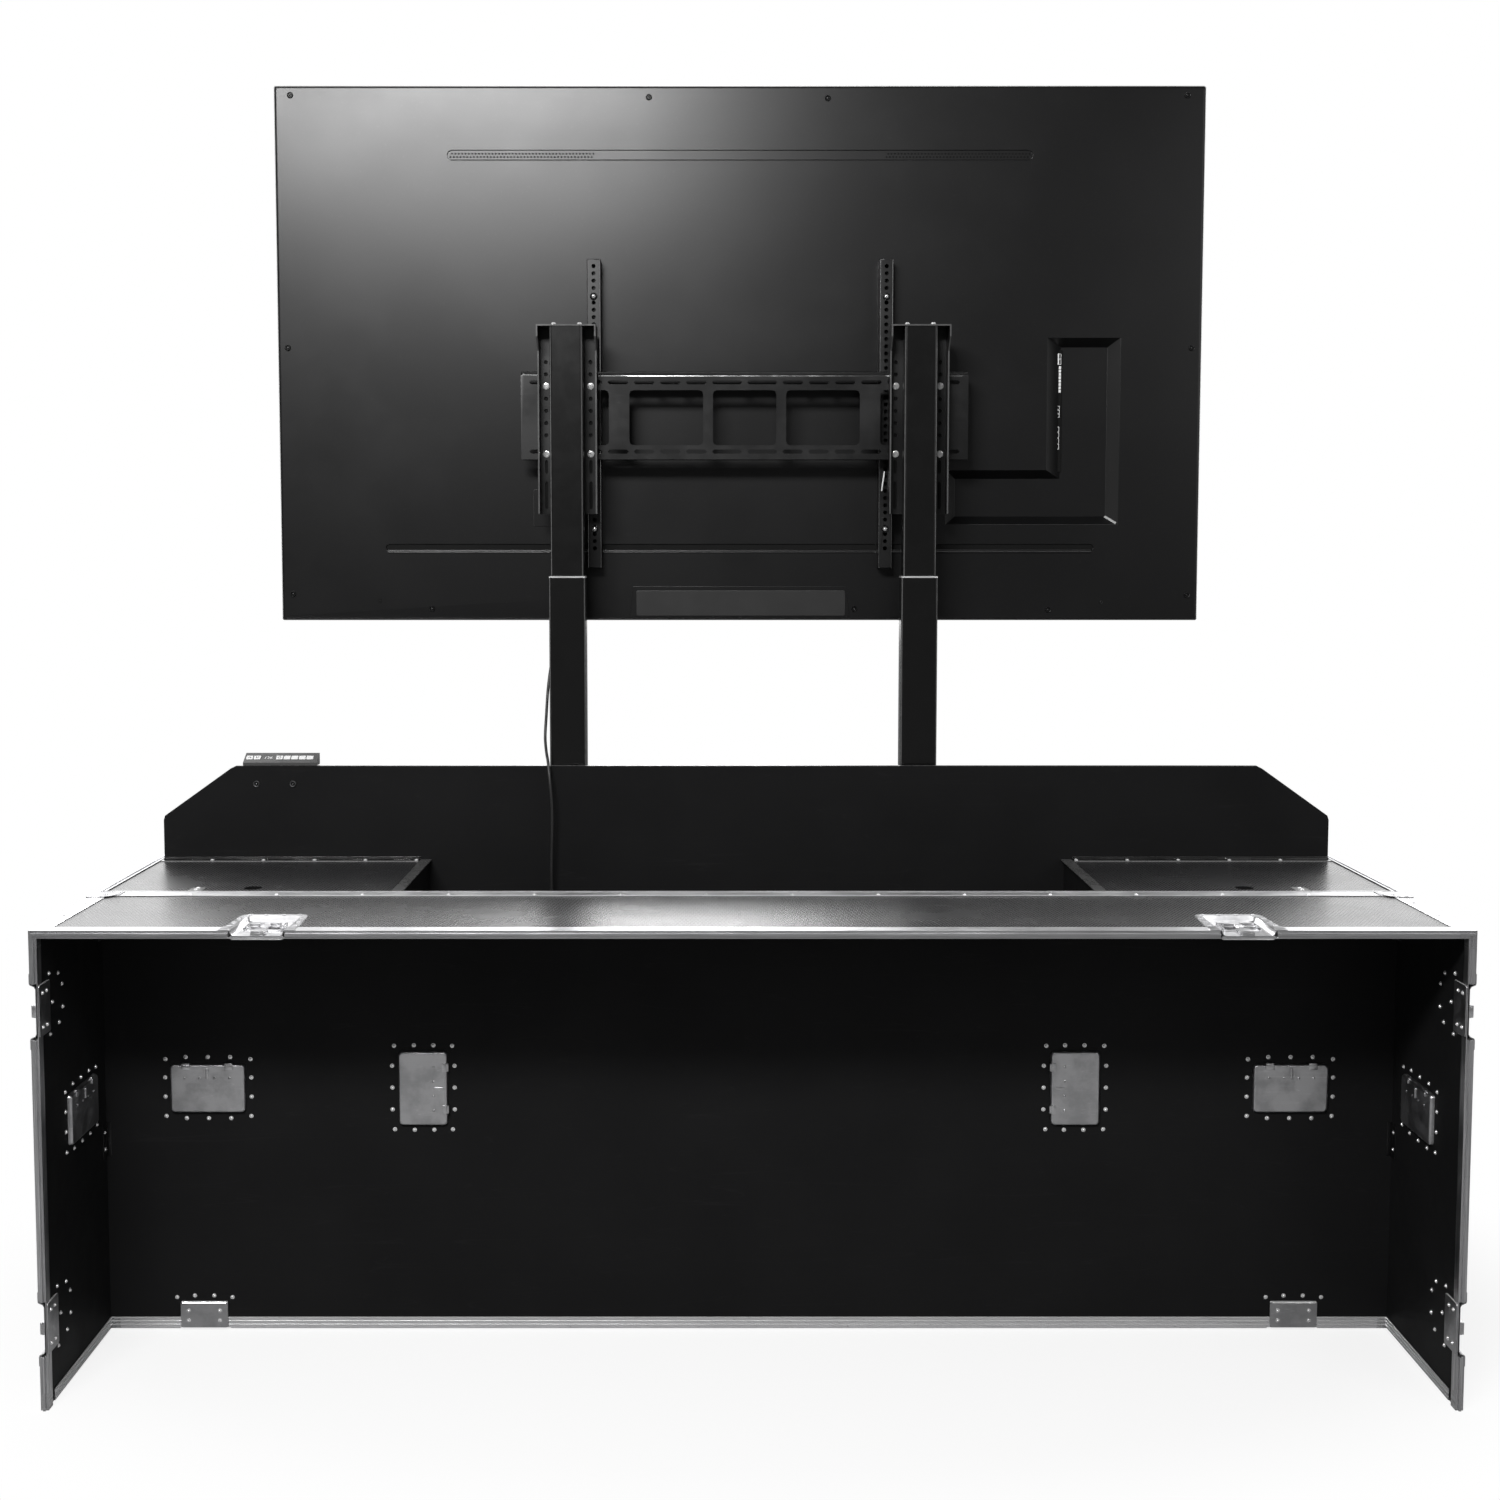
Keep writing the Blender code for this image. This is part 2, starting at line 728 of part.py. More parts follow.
def cover_edging():
    """Angles on the cover's outer edges and castings on its two closed corners, riveted up as one."""
    low, top = cover_foot + edging_leg + gap, case_height
    start = cover_front + edging_leg + gap
    obj = None
    for side in (-1, 1):
        x = side * half_width
        path = [(x, cover_rear, low), (x, cover_rear, top), (x, start, top)]
        inward = [(0, -1, 0), (0, -1, -1), (0, 0, -1)]
        run = sweep(path, inward, (-side, 0, 0), angle_profile())
        if obj is None:
            obj = solid("cover_edging", run, "aluminium")
            end = half_width - edging_leg / 2
            path = [(-end, cover_rear, top), (end, cover_rear, top)]
            fuse(obj, sweep(path, [(0, -1, 0)] * 2, (0, 0, -1), angle_profile()))
        else:
            fuse(obj, run)
    for side in (-1, 1):
        add_casting(obj, (side * half_width, cover_rear, top), (-side, -1, -1))
    return obj


def cover():
    panels = cover_panels()
    rims = cover_rims()
    cover_edging()
    for name, panel, place in handle_frames():
        add_dish(panels[panel], place)
        bail(name, place)
    for name, panel, place in latch_frames():
        rim = rims[1] if name.startswith("rear") else rims[0]
        add_latch(panels[panel], [rim], place)
        knob(name, place)


def base_panels():
    edge = half_width - inset
    front, rear = base_front + inset, base_rear - inset
    floor = solid("base_floor_panel", box((-edge, front, 0), (edge, rear, floor_top)), "laminate")
    reach = edging_leg + gap
    for low, high in (
        ((-edge - overrun, front - overrun), (-edge + reach, rear + overrun)),
        ((edge - reach, front - overrun), (edge + overrun, rear + overrun)),
        ((-edge, front - overrun), (edge, front + reach)),
        ((-edge, rear - reach), (edge, rear + overrun)),
    ):
        cut(floor, box((*low, -overrun), (*high, inset + gap)))
    for sx in (-1, 1):
        for y, sy in ((base_front, 1), (base_rear, -1)):
            near, far = sorted((sx * (half_width + overrun), sx * (half_width - casting_leg - gap)))
            low_y, high_y = sorted((y - sy * overrun, y + sy * (casting_leg + gap)))
            cut(floor, box((near, low_y, -overrun), (far, high_y, inset + gap)))
    low, high = floor_top + gap, case_height - groove_web - gap
    front_wall = solid("base_front_panel", box((-edge, front, low), (edge, front + ply, high)), "laminate")
    solid("base_rear_panel", box((-edge, rear - ply, low), (edge, rear, high)), "laminate")
    for side, word in ((-1, "left"), (1, "right")):
        near, far = sorted((side * edge, side * wall_inner))
        shape = box((near, front + ply + gap, low), (far, rear - ply - gap, high))
        solid(f"base_{word}_panel", shape, "laminate")
    flap_under = case_height - flap_drop - ply
    back = front + ply
    step = case_height - channel_inner_leg - 2 * gap
    for side in (-1, 1):
        rim_inside = half_width - slot_inner - edging_wall - 2 * gap
        near, far = sorted((side * (partition_x + partition_cleat + overrun), side * rim_inside))
        root = box((near, back - ply / 2, step - ledge_height), (far, back + ledge_width, step))
        lip_low = (near, back + edging_wall + 3 * gap, step - gap)
        fuse(front_wall, root, box(lip_low, (far, back + ledge_width, flap_under - gap)))


def base_edging():
    """The groove extrusion round the base's top, and the angles on its other edges."""
    x, top = half_width, case_height
    path = [(-x, base_front, top), (x, base_front, top), (x, base_rear, top), (-x, base_rear, top)]
    inward = [(1, 1, 0), (-1, 1, 0), (-1, -1, 0), (1, -1, 0)]
    solid("base_top_rim", sweep(path, inward, (0, 0, -1), groove_profile(), closed=True), "aluminium")
    lift = gap
    path = [(px, py, lift) for px, py, _ in path]
    obj = solid("base_edging", sweep(path, inward, (0, 0, 1), angle_profile(), closed=True), "aluminium")
    low, high = edging_leg / 2, top - edging_leg - gap
    for sx in (-1, 1):
        for sy, y in ((-1, base_front), (1, base_rear)):
            path = [(sx * x, y, low), (sx * x, y, high)]
            fuse(obj, sweep(path, [(-sx, 0, 0)] * 2, (0, -sy, 0), angle_profile()))
            add_casting(obj, (sx * x, y, lift), (-sx, -sy, 1), (casting_wall, casting_wall, 0))
    return obj


def divider():
    """The board behind the deck, with sloped shoulders and a gland for the lead."""
    r = divider_round
    low = floor_top + gap
    half = [(divider_half, low), (divider_half, divider_shoulder - r)]
    half += [(divider_half - r / 4, divider_shoulder - r / 4), (divider_top_half + r, divider_top - r / 2)]
    half += [(divider_top_half, divider_top)]
    outline = half + mirror_x(half)
    board = solid("divider_board", prism(outline, "Y", divider_y, divider_y + ply), "inside_board")
    face = divider_y - gland_length
    fuse(board, prism(circle(lead_foot_x, gland_height, gland_radius), "Y", face, divider_y + ply / 2))
    return board


def partitions():
    back = base_front + inset + ply + gap
    front_of_divider = divider_y - gap
    cap_top = case_height - flap_drop
    rim_clear = base_front + slot_inner + edging_wall + gap
    for side, word in ((-1, "left"), (1, "right")):
        x = side * partition_x
        low, high = (x - ply / 2, back, floor_top + gap), (x + ply / 2, front_of_divider, cap_top)
        obj = solid(f"partition_{word}", box(low, high), "laminate")
        half_cap = partition_cap / 2
        shade = cap_top - partition_cap_wall
        fuse(obj, box((x - half_cap, rim_clear, shade), (x + half_cap, front_of_divider, cap_top + gap)))
        under = cap_top - ply - gap
        hinge_room = front_of_divider - hinge_leaf - 2 * gap
        cleat = partition_x + ply / 2 + partition_cleat
        near, far = sorted((side * (partition_x + ply / 4), side * cleat))
        start = back + ledge_width + 2 * gap
        fuse(obj, box((near, start, under - ledge_height), (far, hinge_room, under)))
        notch_low = (x - ply, back - overrun, case_height - groove_web - gap - channel_inner_leg)
        cut(obj, box(notch_low, (x + ply, rim_clear, case_height + overrun)))


hinge_y = divider_y - hinge_leaf - hinge_radius - 3 * gap
hinge_z = case_height - flap_drop + hinge_radius
flap_outer = half_width - slot_inner - edging_wall - flap_play
flap_inner = partition_x + partition_cap / 2 + flap_play / 2
flap_length = flap_outer - flap_inner
knuckles = int(flap_length / hinge_pitch)


def knuckle_ends(side, index):
    start = flap_inner + (flap_length - knuckles * hinge_pitch) / 2 + index * hinge_pitch
    return sorted((side * (start + hinge_play), side * (start + hinge_pitch - hinge_play)))


def flaps():
    """The two hinged deck flaps, with their share of the piano hinge's knuckles."""
    under = case_height - flap_drop - ply
    front = base_front + slot_inner + edging_wall + flap_play
    rear = hinge_y - hinge_radius - 2 * gap
    for side, word in ((-1, "left"), (1, "right")):
        near, far = sorted((side * flap_inner, side * flap_outer))
        top = under + ply
        pivot = Vector((side * (flap_inner + flap_outer) / 2, hinge_y, hinge_z))
        obj = solid(f"flap_{word}", box((near, front, under), (far, rear, top)), "laminate")
        leaf_front = rear - hinge_leaf_height
        fuse(obj, box((near, leaf_front, top - gap), (far, rear, top + hinge_leaf)))
        for index in range(0, knuckles, 2):
            low, high = knuckle_ends(side, index)
            fuse(obj, prism(circle(hinge_y, hinge_z, hinge_radius, sides_small), "X", low, high))
            fuse(obj, box((low, rear - hinge_radius, top - gap), (high, hinge_y, top + hinge_leaf)))
            bore = circle(hinge_y, hinge_z, hinge_bore, sides_small)
            cut(obj, prism(bore, "X", low - overrun, high + overrun))
        x = side * (flap_inner + flap_length * finger_share)
        hole = circle(x, front + finger_inset, finger_hole / 2)
        cut(obj, prism(hole, "Z", under - overrun, top + overrun))
        x = side * (flap_inner + flap_length * tab_share)
        tab_high = (x + tab_width / 2, front + tab_length, top + tab_wall)
        fuse(obj, box((x - tab_width / 2, front, top - gap), tab_high))
        obj.data.transform(Matrix.Translation(-pivot))
        obj.location = pivot
        leaf_low = hinge_z - hinge_leaf_height
        face = divider_y - gap
        leaf = box((near, face - hinge_leaf, leaf_low), (far, face, hinge_z + hinge_radius))
        fixed = solid(f"hinge_{word}", leaf, "zinc_steel")
        fuse(fixed, prism(circle(hinge_y, hinge_z, hinge_pin, sides_small), "X", near, far))
        for index in range(1, knuckles, 2):
            low, high = knuckle_ends(side, index)
            fuse(fixed, prism(circle(hinge_y, hinge_z, hinge_radius, sides_small), "X", low, high))
            web_low = (low, hinge_y, hinge_z - hinge_pin)
            fuse(fixed, box(web_low, (high, face - hinge_leaf / 2, hinge_z + hinge_pin)))


def keypad_frame():
    """The keypad's face: X along it, Y up its slope, Z out of it, from its lower left corner."""
    rise = Matrix.Rotation(keypad_tilt, 4, "X")
    corner = (keypad_x - keypad_width / 2, divider_y - gap, divider_top + gap + keypad_front_wall)
    return Matrix.Translation(corner) @ rise


def button_centres():
    """Where the keys lie along the face: two, the display's window, then five."""
    start = button_row_start
    keys = [start + i * button_pitch for i in range(2)]
    after = start + (2 + button_gap_count) * button_pitch
    return keys + [after + i * button_pitch for i in range(5)]


def keypad():
    place = keypad_frame()
    left, right = keypad_x - keypad_width / 2, keypad_x + keypad_width / 2
    base_z = divider_top + gap
    front_y = divider_y - gap
    run, rise = keypad_face * math.cos(keypad_tilt), keypad_face * math.sin(keypad_tilt)
    lip = base_z + keypad_front_wall
    outline = [(front_y, base_z), (front_y + run, base_z), (front_y + run, lip + rise), (front_y, lip)]
    housing = solid("keypad_housing", prism(outline, "X", left, right), "keypad_plastic")
    strap_y = divider_y + ply + gap
    half = keypad_strap_width / 2
    strap_low = (keypad_x - half, strap_y, divider_top - keypad_strap)
    strap_high = (keypad_x + half, strap_y + keypad_strap_wall, base_z + keypad_front_wall / 2)
    fuse(housing, box(strap_low, strap_high))
    middle = keypad_face / 2
    half_w, half_h = button_width / 2, button_height / 2
    well = button_body + button_travel + 2 * gap
    keys = button_centres()
    reach_w, reach_h = half_w + button_play, half_h + button_play
    for x in keys:
        hole = box((x - reach_w, middle - reach_h, -well), (x + reach_w, middle + reach_h, overrun))
        cut(housing, moved(hole, place))
    window = (keys[1] + keys[2]) / 2
    reach = (keys[2] - keys[1]) / 2 - reach_w - button_proud
    low = (window - reach, middle - half_h, -display_recess)
    cut(housing, moved(box(low, (window + reach, middle + half_h, overrun)), place))
    names = ["key_up", "key_down", "key_memory", "key_one", "key_two", "key_three", "key_four"]
    for name, x in zip(names, keys):
        outline = rounded(-half_w, -half_h, half_w, half_h, button_play, 1)
        cap = solid(name, prism(outline, "Z", -button_body, button_proud), "button_white")
        cap.matrix_world = place @ Matrix.Translation((x, middle, 0))


def control_box():
    low = (lift_x - control_length / 2, divider_y + ply + column_behind_divider, floor_top + gap)
    high = (lift_x + control_length / 2, low[1] + control_width, floor_top + gap + control_height)
    obj = solid("control_box", box(low, high), "black_steel")
    bevel = obj.modifiers.new("edges", "BEVEL")
    bevel.width = control_bevel
    bevel.segments = 2


def columns():
    """Four nested tubes a side, drawn out to the photographed height."""
    floor = floor_top + gap
    for side, word in ((-1, "left"), (1, "right")):
        x = lift_x + side * column_half_pitch
        for stage, top in enumerate((outer_tube_top, second_tube_top, third_tube_top, inner_tube_top)):
            half_w = (column_width - stage * stage_step) / 2
            half_d = (column_depth - stage * stage_step) / 2
            wall = stage_step / 2 - stage_play
            low = floor if stage == 0 else top - stage_length
            outer = rounded(x - half_w, column_y - half_d, x + half_w, column_y + half_d, tube_round)
            name = ("column_outer", "column_second", "column_third", "column_inner")[stage]
            obj = solid(f"{name}_{word}", prism(outer, "Z", low, top), "black_steel")
            if stage == 0:
                reach = foot_length / 2
                front = divider_y + ply + gap
                rear = column_y + half_d + foot_rear
                fuse(obj, box((x - reach, front, floor), (x + reach, rear, floor + foot_wall)))
            w, r = wall, max(tube_round - wall, stage_play)
            bore = rounded(x - half_w + w, column_y - half_d + w, x + half_w - w, column_y + half_d - w, r)
            start = floor + foot_wall if stage == 0 else low - overrun
            cut(obj, prism(bore, "Z", start, top + overrun))
            shade_round(obj)


def brackets():
    """A channel down the back of each inner tube, with cheeks and a cap over the tube's top."""
    top = bracket_top
    low = top - bracket_length
    for side, word in ((-1, "left"), (1, "right")):
        x = lift_x + side * column_half_pitch
        half, wall = bracket_width / 2, bracket_wall
        back = web_front + wall
        obj = solid(f"bracket_{word}", box((x - half, web_front, low), (x + half, back, top)), "black_steel")
        fuse(obj, box((x - half, back - bracket_cheek_top, top - wall), (x + half, back, top)))
        deep, shallow = back - bracket_cheek_top, back - bracket_cheek
        cheek = [(back, low), (back, top), (deep, top), (deep, top - bracket_taper_start)]
        cheek += [(shallow, top - bracket_taper_end), (shallow, low)]
        fuse(obj, prism(cheek, "X", x - half, x - half + wall), prism(cheek, "X", x + half - wall, x + half))
        holes = []
        for column in (-1, 1):
            cx = x + column * bracket_hole_x
            for i in range(bracket_hole_count):
                holes.append(circle(cx, top - bracket_first_hole - i * bracket_hole_pitch, bracket_hole, 8))
            half_slot = bracket_slot_width / 2
            slots = (
                (bracket_slot_start, bracket_slot_length),
                (bracket_long_slot_start, bracket_long_slot_length),
            )
            for start, length in slots:
                low_end, high_end = top - start - length, top - start
                holes.append(rounded(cx - half_slot, low_end, cx + half_slot, high_end, half_slot - gap, 1))
        cut(obj, *[prism(hole, "Y", web_front - overrun, back + overrun) for hole in holes])


def wall_plate():
    """The plate both brackets bolt to: slot rows, windows, and flanges that the arms hang on."""
    left, right = plate_x - plate_half, plate_x + plate_half
    low = plate_top - plate_height
    back = plate_front + plate_wall
    reach = arm_rear - arm_depth - gap
    under, over = plate_top - plate_wall, low + plate_wall
    profile = [(plate_front, low), (plate_front, plate_top), (reach, plate_top), (reach, under)]
    profile += [(back, under), (back, over), (reach, over), (reach, low)]
    obj = solid("wall_plate", prism(profile, "X", left, right), "black_steel")
    half_slot = plate_slot_height / 2
    start = plate_mid_slot_web / 2
    slots = [(start, start + plate_mid_slot_length)]
    start += plate_mid_slot_length + plate_slot_pitch - plate_slot_length
    slots += [(start + i * plate_slot_pitch, start + i * plate_slot_pitch + plate_slot_length)
              for i in range(plate_slot_count)]
    holes = []
    for z in (plate_top - plate_top_slots, low + plate_bottom_slots):
        for near, far in slots:
            for a, b in ((plate_x + near, plate_x + far), (plate_x - far, plate_x - near)):
                holes.append(rounded(a, z - half_slot, b, z + half_slot, half_slot - gap, 1))
    side_start = window_mid_width / 2 + window_web
    end_start = side_start + window_side_width + window_wide_web
    z = plate_top - window_top - window_height
    windows = [(-window_mid_width / 2, window_mid_width / 2)]
    for near, width in ((side_start, window_side_width), (end_start, window_end_width)):
        windows += [(near, near + width), (-near - width, -near)]
    for a, b in windows:
        holes.append(rounded(plate_x + a, z, plate_x + b, z + window_height, window_round, 2))
    cut(obj, *[prism(hole, "Y", plate_front - overrun, back + overrun) for hole in holes])


def arms():
    """The two upright arms on the television's back, drilled for any mounting pattern."""
    for word, x in (("left", tv_x - arm_spacing / 2), ("right", tv_x + arm_spacing / 2)):
        half, wall = arm_width / 2, arm_wall
        front = arm_rear - arm_depth
        outline = [(x - half, arm_rear), (x - half, front), (x + half, front), (x + half, arm_rear)]
        outline += [(x + half - wall, arm_rear), (x + half - wall, front + wall)]
        outline += [(x - half + wall, front + wall), (x - half + wall, arm_rear)]
        obj = solid(f"tv_arm_{word}", prism(outline, "Z", arm_bottom, arm_top), "black_steel")
        heights = [arm_top - (i + 1) * arm_hole_pitch for i in range(arm_hole_count)]
        holes = [circle(x, z, arm_hole, 8) for z in heights]
        cut(obj, *[prism(hole, "Y", front - overrun, front + wall + overrun) for hole in holes])
        for end in (arm_bottom, arm_top - wall):
            fuse(obj, box((x - half, front, end), (x + half, arm_rear, end + wall)))


def television():
    left, right, low, top = tv_left, tv_right, tv_bottom, tv_top
    screen_y = tv_y + tv_depth - tv_screen
    e, w = tv_edge, tv_wall
    face = rounded(left, low, right, top, e / 2)
    solid("tv_screen", prism(face, "Y", screen_y + gap, tv_y + tv_depth), "tv_glass")
    back = solid("tv_back_cover", prism(face, "Y", tv_y + e, screen_y), "tv_plastic")
    rings = []
    for y, pull in ((tv_y, e), (tv_y + e / 4, e / 3), (tv_y + e, 0), (tv_y + e + e, 0)):
        ring = rounded(left + pull, low + pull, right - pull, top - pull, e / 2)
        rings.append([(a, y, b) for a, b in ring])
    fuse(back, loft(rings))
    hollow = rounded(left + w, low + w, right - w, top - w, e / 2 - w / 2)
    cut(back, prism(hollow, "Y", tv_y + w + tv_groove, screen_y + overrun))
    add_terminals(back)
    add_grooves(back)
    add_covers(back)


def add_terminals(back):
    """The corner-shaped recess that the television's sockets face into."""
    right, low = tv_right - terminal_inset, tv_bottom + terminal_rise
    column, row = right - terminal_column, low + terminal_row
    left, high = right - terminal_length, low + terminal_height
    w, floor = tv_wall, tv_y + terminal_depth

    def ring(y, across, down, beside):
        """The recess's outline at a depth, drawn in by its slopes."""
        outline = [(column + beside, high - down), (right - across, high - down)]
        outline += [(right - across, low + down), (left + across, low + down)]
        outline += [(left + across, row - down), (column + beside, row - down)]
        return [(a, y, b) for a, b in outline]

    slopes = (terminal_side_slope, terminal_top_slope, terminal_socket_slope)
    outer = [ring(tv_y + w, -w, -w, -w), ring(floor + w, *(slope - w for slope in slopes))]
    fuse(back, loft(outer))
    cut(back, loft([ring(tv_y - overrun, 0, 0, 0), ring(tv_y, 0, 0, 0), ring(floor, *slopes)]))


def add_grooves(back):
    """The long vent near the top, and the narrower groove near the bottom."""
    vent_top = tv_top - vent_drop
    groove_low = tv_bottom + lower_groove_rise
    runs = (
        (vent_length / 2, vent_top - vent_height, vent_top),
        (lower_groove_length / 2, groove_low, groove_low + lower_groove_height),
    )
    for half, low, high in runs:
        end = (high - low) / 2 - gap
        run = rounded(tv_x - half, low, tv_x + half, high, end, 2)
        cut(back, prism(run, "Y", tv_y - overrun, tv_y + tv_groove))


def add_covers(back):
    """The service cover at the foot, the small hatch, and the boss that the lead enters."""
    proud, inner = tv_y - foot_cover_proud, tv_y + tv_wall
    low = tv_bottom + tv_edge
    top_half, foot_half = foot_cover_half, foot_cover_half + tv_edge
    outline = [(tv_x - foot_half, low), (tv_x + foot_half, low)]
    outline += [(tv_x + top_half, low + foot_cover_height), (tv_x - top_half, low + foot_cover_height)]
    fuse(back, prism(outline, "Y", proud, inner))
    left, base = tv_left + hatch_inset, tv_bottom + hatch_rise
    hatch = rounded(left, base, left + hatch_width, base + hatch_height, foot_cover_proud, 1)
    fuse(back, prism(hatch, "Y", proud, inner))
    boss = circle(lead_top_x, lead_top_z, lead_boss_radius)
    fuse(back, prism(boss, "Y", tv_y - lead_boss_length, inner))


def smooth_route(knots, count):
    """Points spaced evenly along a smooth curve through the knots."""
    knots = [Vector(k) for k in knots]
    slopes = [(b - a) / 2 for a, b in zip(knots[:1] + knots[:-1], knots[1:] + knots[-1:])]
    slopes[1] = knots[1] - knots[0]
    slopes[-2] = knots[-1] - knots[-2]
    dense = []
    for i in range(len(knots) - 1):
        handles = (knots[i], knots[i] + slopes[i] / 3, knots[i + 1] - slopes[i + 1] / 3, knots[i + 1])
        dense += interpolate_bezier(*handles, 24)[: None if i == len(knots) - 2 else -1]
    lengths = [0.0]
    for a, b in zip(dense, dense[1:]):
        lengths.append(lengths[-1] + (b - a).length)
    found, j = [], 0
    for i in range(count):
        want = lengths[-1] * i / (count - 1)
        while j < len(dense) - 2 and lengths[j + 1] < want:
            j += 1
        span = lengths[j + 1] - lengths[j]
        found.append(dense[j].lerp(dense[j + 1], min(max((want - lengths[j]) / span, 0), 1)))
    return found


def lead():
    """The power lead from the television's back, over the divider and down to the gland in the well."""
    route = [
        (-0.3760, 0.1070, 1.3370), (-0.3850, 0.0960, 1.3000), (-0.3970, 0.0810, 1.2400),
        (-0.4065, 0.0640, 1.1700), (-0.4100, 0.0480, 1.1050), (-0.4110, 0.0330, 1.0650),
        (-0.4070, 0.0130, 1.0370), (-0.4015, -0.0080, 1.0160), (-0.3975, -0.0210, 0.9830),
        (-0.3930, -0.0240, 0.9300), (-0.3930, -0.0230, 0.8750), (-0.3950, -0.0210, 0.8000),
        (-0.3940, -0.0190, 0.7000), (-0.3860, -0.0200, 0.5200), (-0.3750, -0.0280, 0.3300),
        (-0.3705, -0.0460, 0.2150), (-0.3700, -0.0560, 0.1720), (-0.3700, -0.0495, 0.1350),
    ]
    start = tv_y - lead_boss_length - gap
    end = divider_y - gland_length - gap
    knots = [(lead_top_x, start, lead_top_z), (lead_top_x, start - lead_straight, lead_top_z)]
    knots += [(x, divider_y + y, z) for x, y, z in route]
    knots += [(lead_foot_x, end - lead_straight, gland_height), (lead_foot_x, end, gland_height)]
    curve = bpy.data.curves.new("power_lead", "CURVE")
    curve.dimensions = "3D"
    spline = curve.splines.new("POLY")
    places = smooth_route(knots, lead_points)
    spline.points.add(len(places) - 1)
    for point, place in zip(spline.points, places):
        point.co = (*place, 1)
    curve.bevel_depth = lead_diameter / 2
    curve.bevel_resolution = 2
    curve.use_fill_caps = True
    obj = bpy.data.objects.new("power_lead", curve)
    bpy.context.scene.collection.objects.link(obj)
    finish(obj, "lead_black")


def build():
    clear_scene()
    cover()
    base_panels()
    base_edging()
    divider()
    partitions()
    flaps()
    keypad()
    control_box()
    columns()
    brackets()
    wall_plate()
    arms()
    television()
    lead()


build()
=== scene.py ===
import math

import bmesh
import bpy
from mathutils import Matrix, Vector
from mathutils.geometry import interpolate_bezier


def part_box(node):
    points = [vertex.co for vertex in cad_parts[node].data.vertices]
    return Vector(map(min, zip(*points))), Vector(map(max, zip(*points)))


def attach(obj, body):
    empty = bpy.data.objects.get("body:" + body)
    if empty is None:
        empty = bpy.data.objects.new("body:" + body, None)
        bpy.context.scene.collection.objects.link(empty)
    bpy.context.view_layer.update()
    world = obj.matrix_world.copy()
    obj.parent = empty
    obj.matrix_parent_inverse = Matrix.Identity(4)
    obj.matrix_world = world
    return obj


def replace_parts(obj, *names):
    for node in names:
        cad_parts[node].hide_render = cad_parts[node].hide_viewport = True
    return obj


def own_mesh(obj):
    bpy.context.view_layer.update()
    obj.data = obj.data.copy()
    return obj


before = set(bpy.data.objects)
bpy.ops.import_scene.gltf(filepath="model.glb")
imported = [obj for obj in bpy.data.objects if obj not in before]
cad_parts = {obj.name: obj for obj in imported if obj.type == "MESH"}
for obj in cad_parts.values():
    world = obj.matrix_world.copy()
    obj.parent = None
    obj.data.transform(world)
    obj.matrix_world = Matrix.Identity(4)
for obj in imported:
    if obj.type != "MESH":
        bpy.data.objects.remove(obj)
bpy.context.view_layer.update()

# Sizes that the case's own pieces are set out from, in metres
MM = 0.001
PLY, INSET, LEG, WALL, SHEET, GAP = 0.010, 0.0018, 0.030, 0.0015, 0.0012, 0.0003
HALF_WIDTH, CASE_TOP, CASE_DEPTH = 1.200, 0.820, 0.820
COVER_FRONT, COVER_REAR, COVER_FOOT = -0.57905, -0.24005, 0.0035
COVER_DEPTH = COVER_REAR - COVER_FRONT
BASE_FRONT = COVER_REAR + SHEET + GAP
BASE_REAR = BASE_FRONT + CASE_DEPTH
DIVIDER_Y, DIVIDER_TOP, TV_Y = BASE_FRONT + 0.369, 1.010, BASE_FRONT + 0.528
PANEL_OUT, PANEL_IN = -INSET, -(INSET + PLY)
COLUMN_WIDTH, COLUMN_DEPTH, STAGE_STEP = 0.0895, 0.0675, 0.0075
COLUMN_X = (-0.006 - 0.3575, -0.006 + 0.3575)
COLUMN_Y = DIVIDER_Y + PLY + 0.003 + COLUMN_DEPTH / 2
STAGES = (("outer", "base", 0.610), ("second", "lift_stage_two", 0.985), ("third", "lift_stage_three", 1.392),
          ("inner", "tv_carriage", 1.896))
BRACKET_WEB = COLUMN_Y + COLUMN_DEPTH / 2 + 0.0015
BRACKET_TOP = STAGES[3][2] + GAP + 0.003
BRACKET_HOLES = [BRACKET_TOP - 0.070 - i * 0.0247 for i in range(7)]
BRACKET_HOLE_X = 0.0455
DECK_TOP = CASE_TOP - 0.002
SIDES = ((-1, "left"), (1, "right"))
WAYS = {"top": (0, 0, 1), "back": (0, 1, 0), "left": (-1, 0, 0), "right": (1, 0, 0), "front": (0, -1, 0),
        "rear": (0, 1, 0), "floor": (0, 0, -1)}
UP, OUT, BACK = WAYS["top"], WAYS["front"], WAYS["back"]


# Nodes: each tool takes sockets or plain values and gives back a socket
def add(tree, kind, inputs=(), **settings):
    """A node with its settings made, then its inputs fed by label or number."""
    node = tree.nodes.new(kind)
    for name, value in settings.items():
        setattr(node, name, value)
    for key, value in dict(inputs).items():
        if isinstance(value, bpy.types.NodeSocket):
            tree.links.new(value, node.inputs[key])
        else:
            node.inputs[key].default_value = value
    return node


def arithmetic(tree, operation, *values):
    return add(tree, "ShaderNodeMath", enumerate(values), operation=operation).outputs[0]


def times(tree, socket, share):
    return arithmetic(tree, "MULTIPLY", socket, share)


def vector_math(tree, operation, *values):
    node = add(tree, "ShaderNodeVectorMath", enumerate(values), operation=operation)
    return node.outputs["Value" if operation in ("DOT_PRODUCT", "LENGTH") else "Vector"]


def noise(tree, vector, scale, detail, rough):
    inputs = {"Vector": vector, "Scale": scale, "Detail": detail, "Roughness": rough}
    return add(tree, "ShaderNodeTexNoise", inputs).outputs["Fac"]


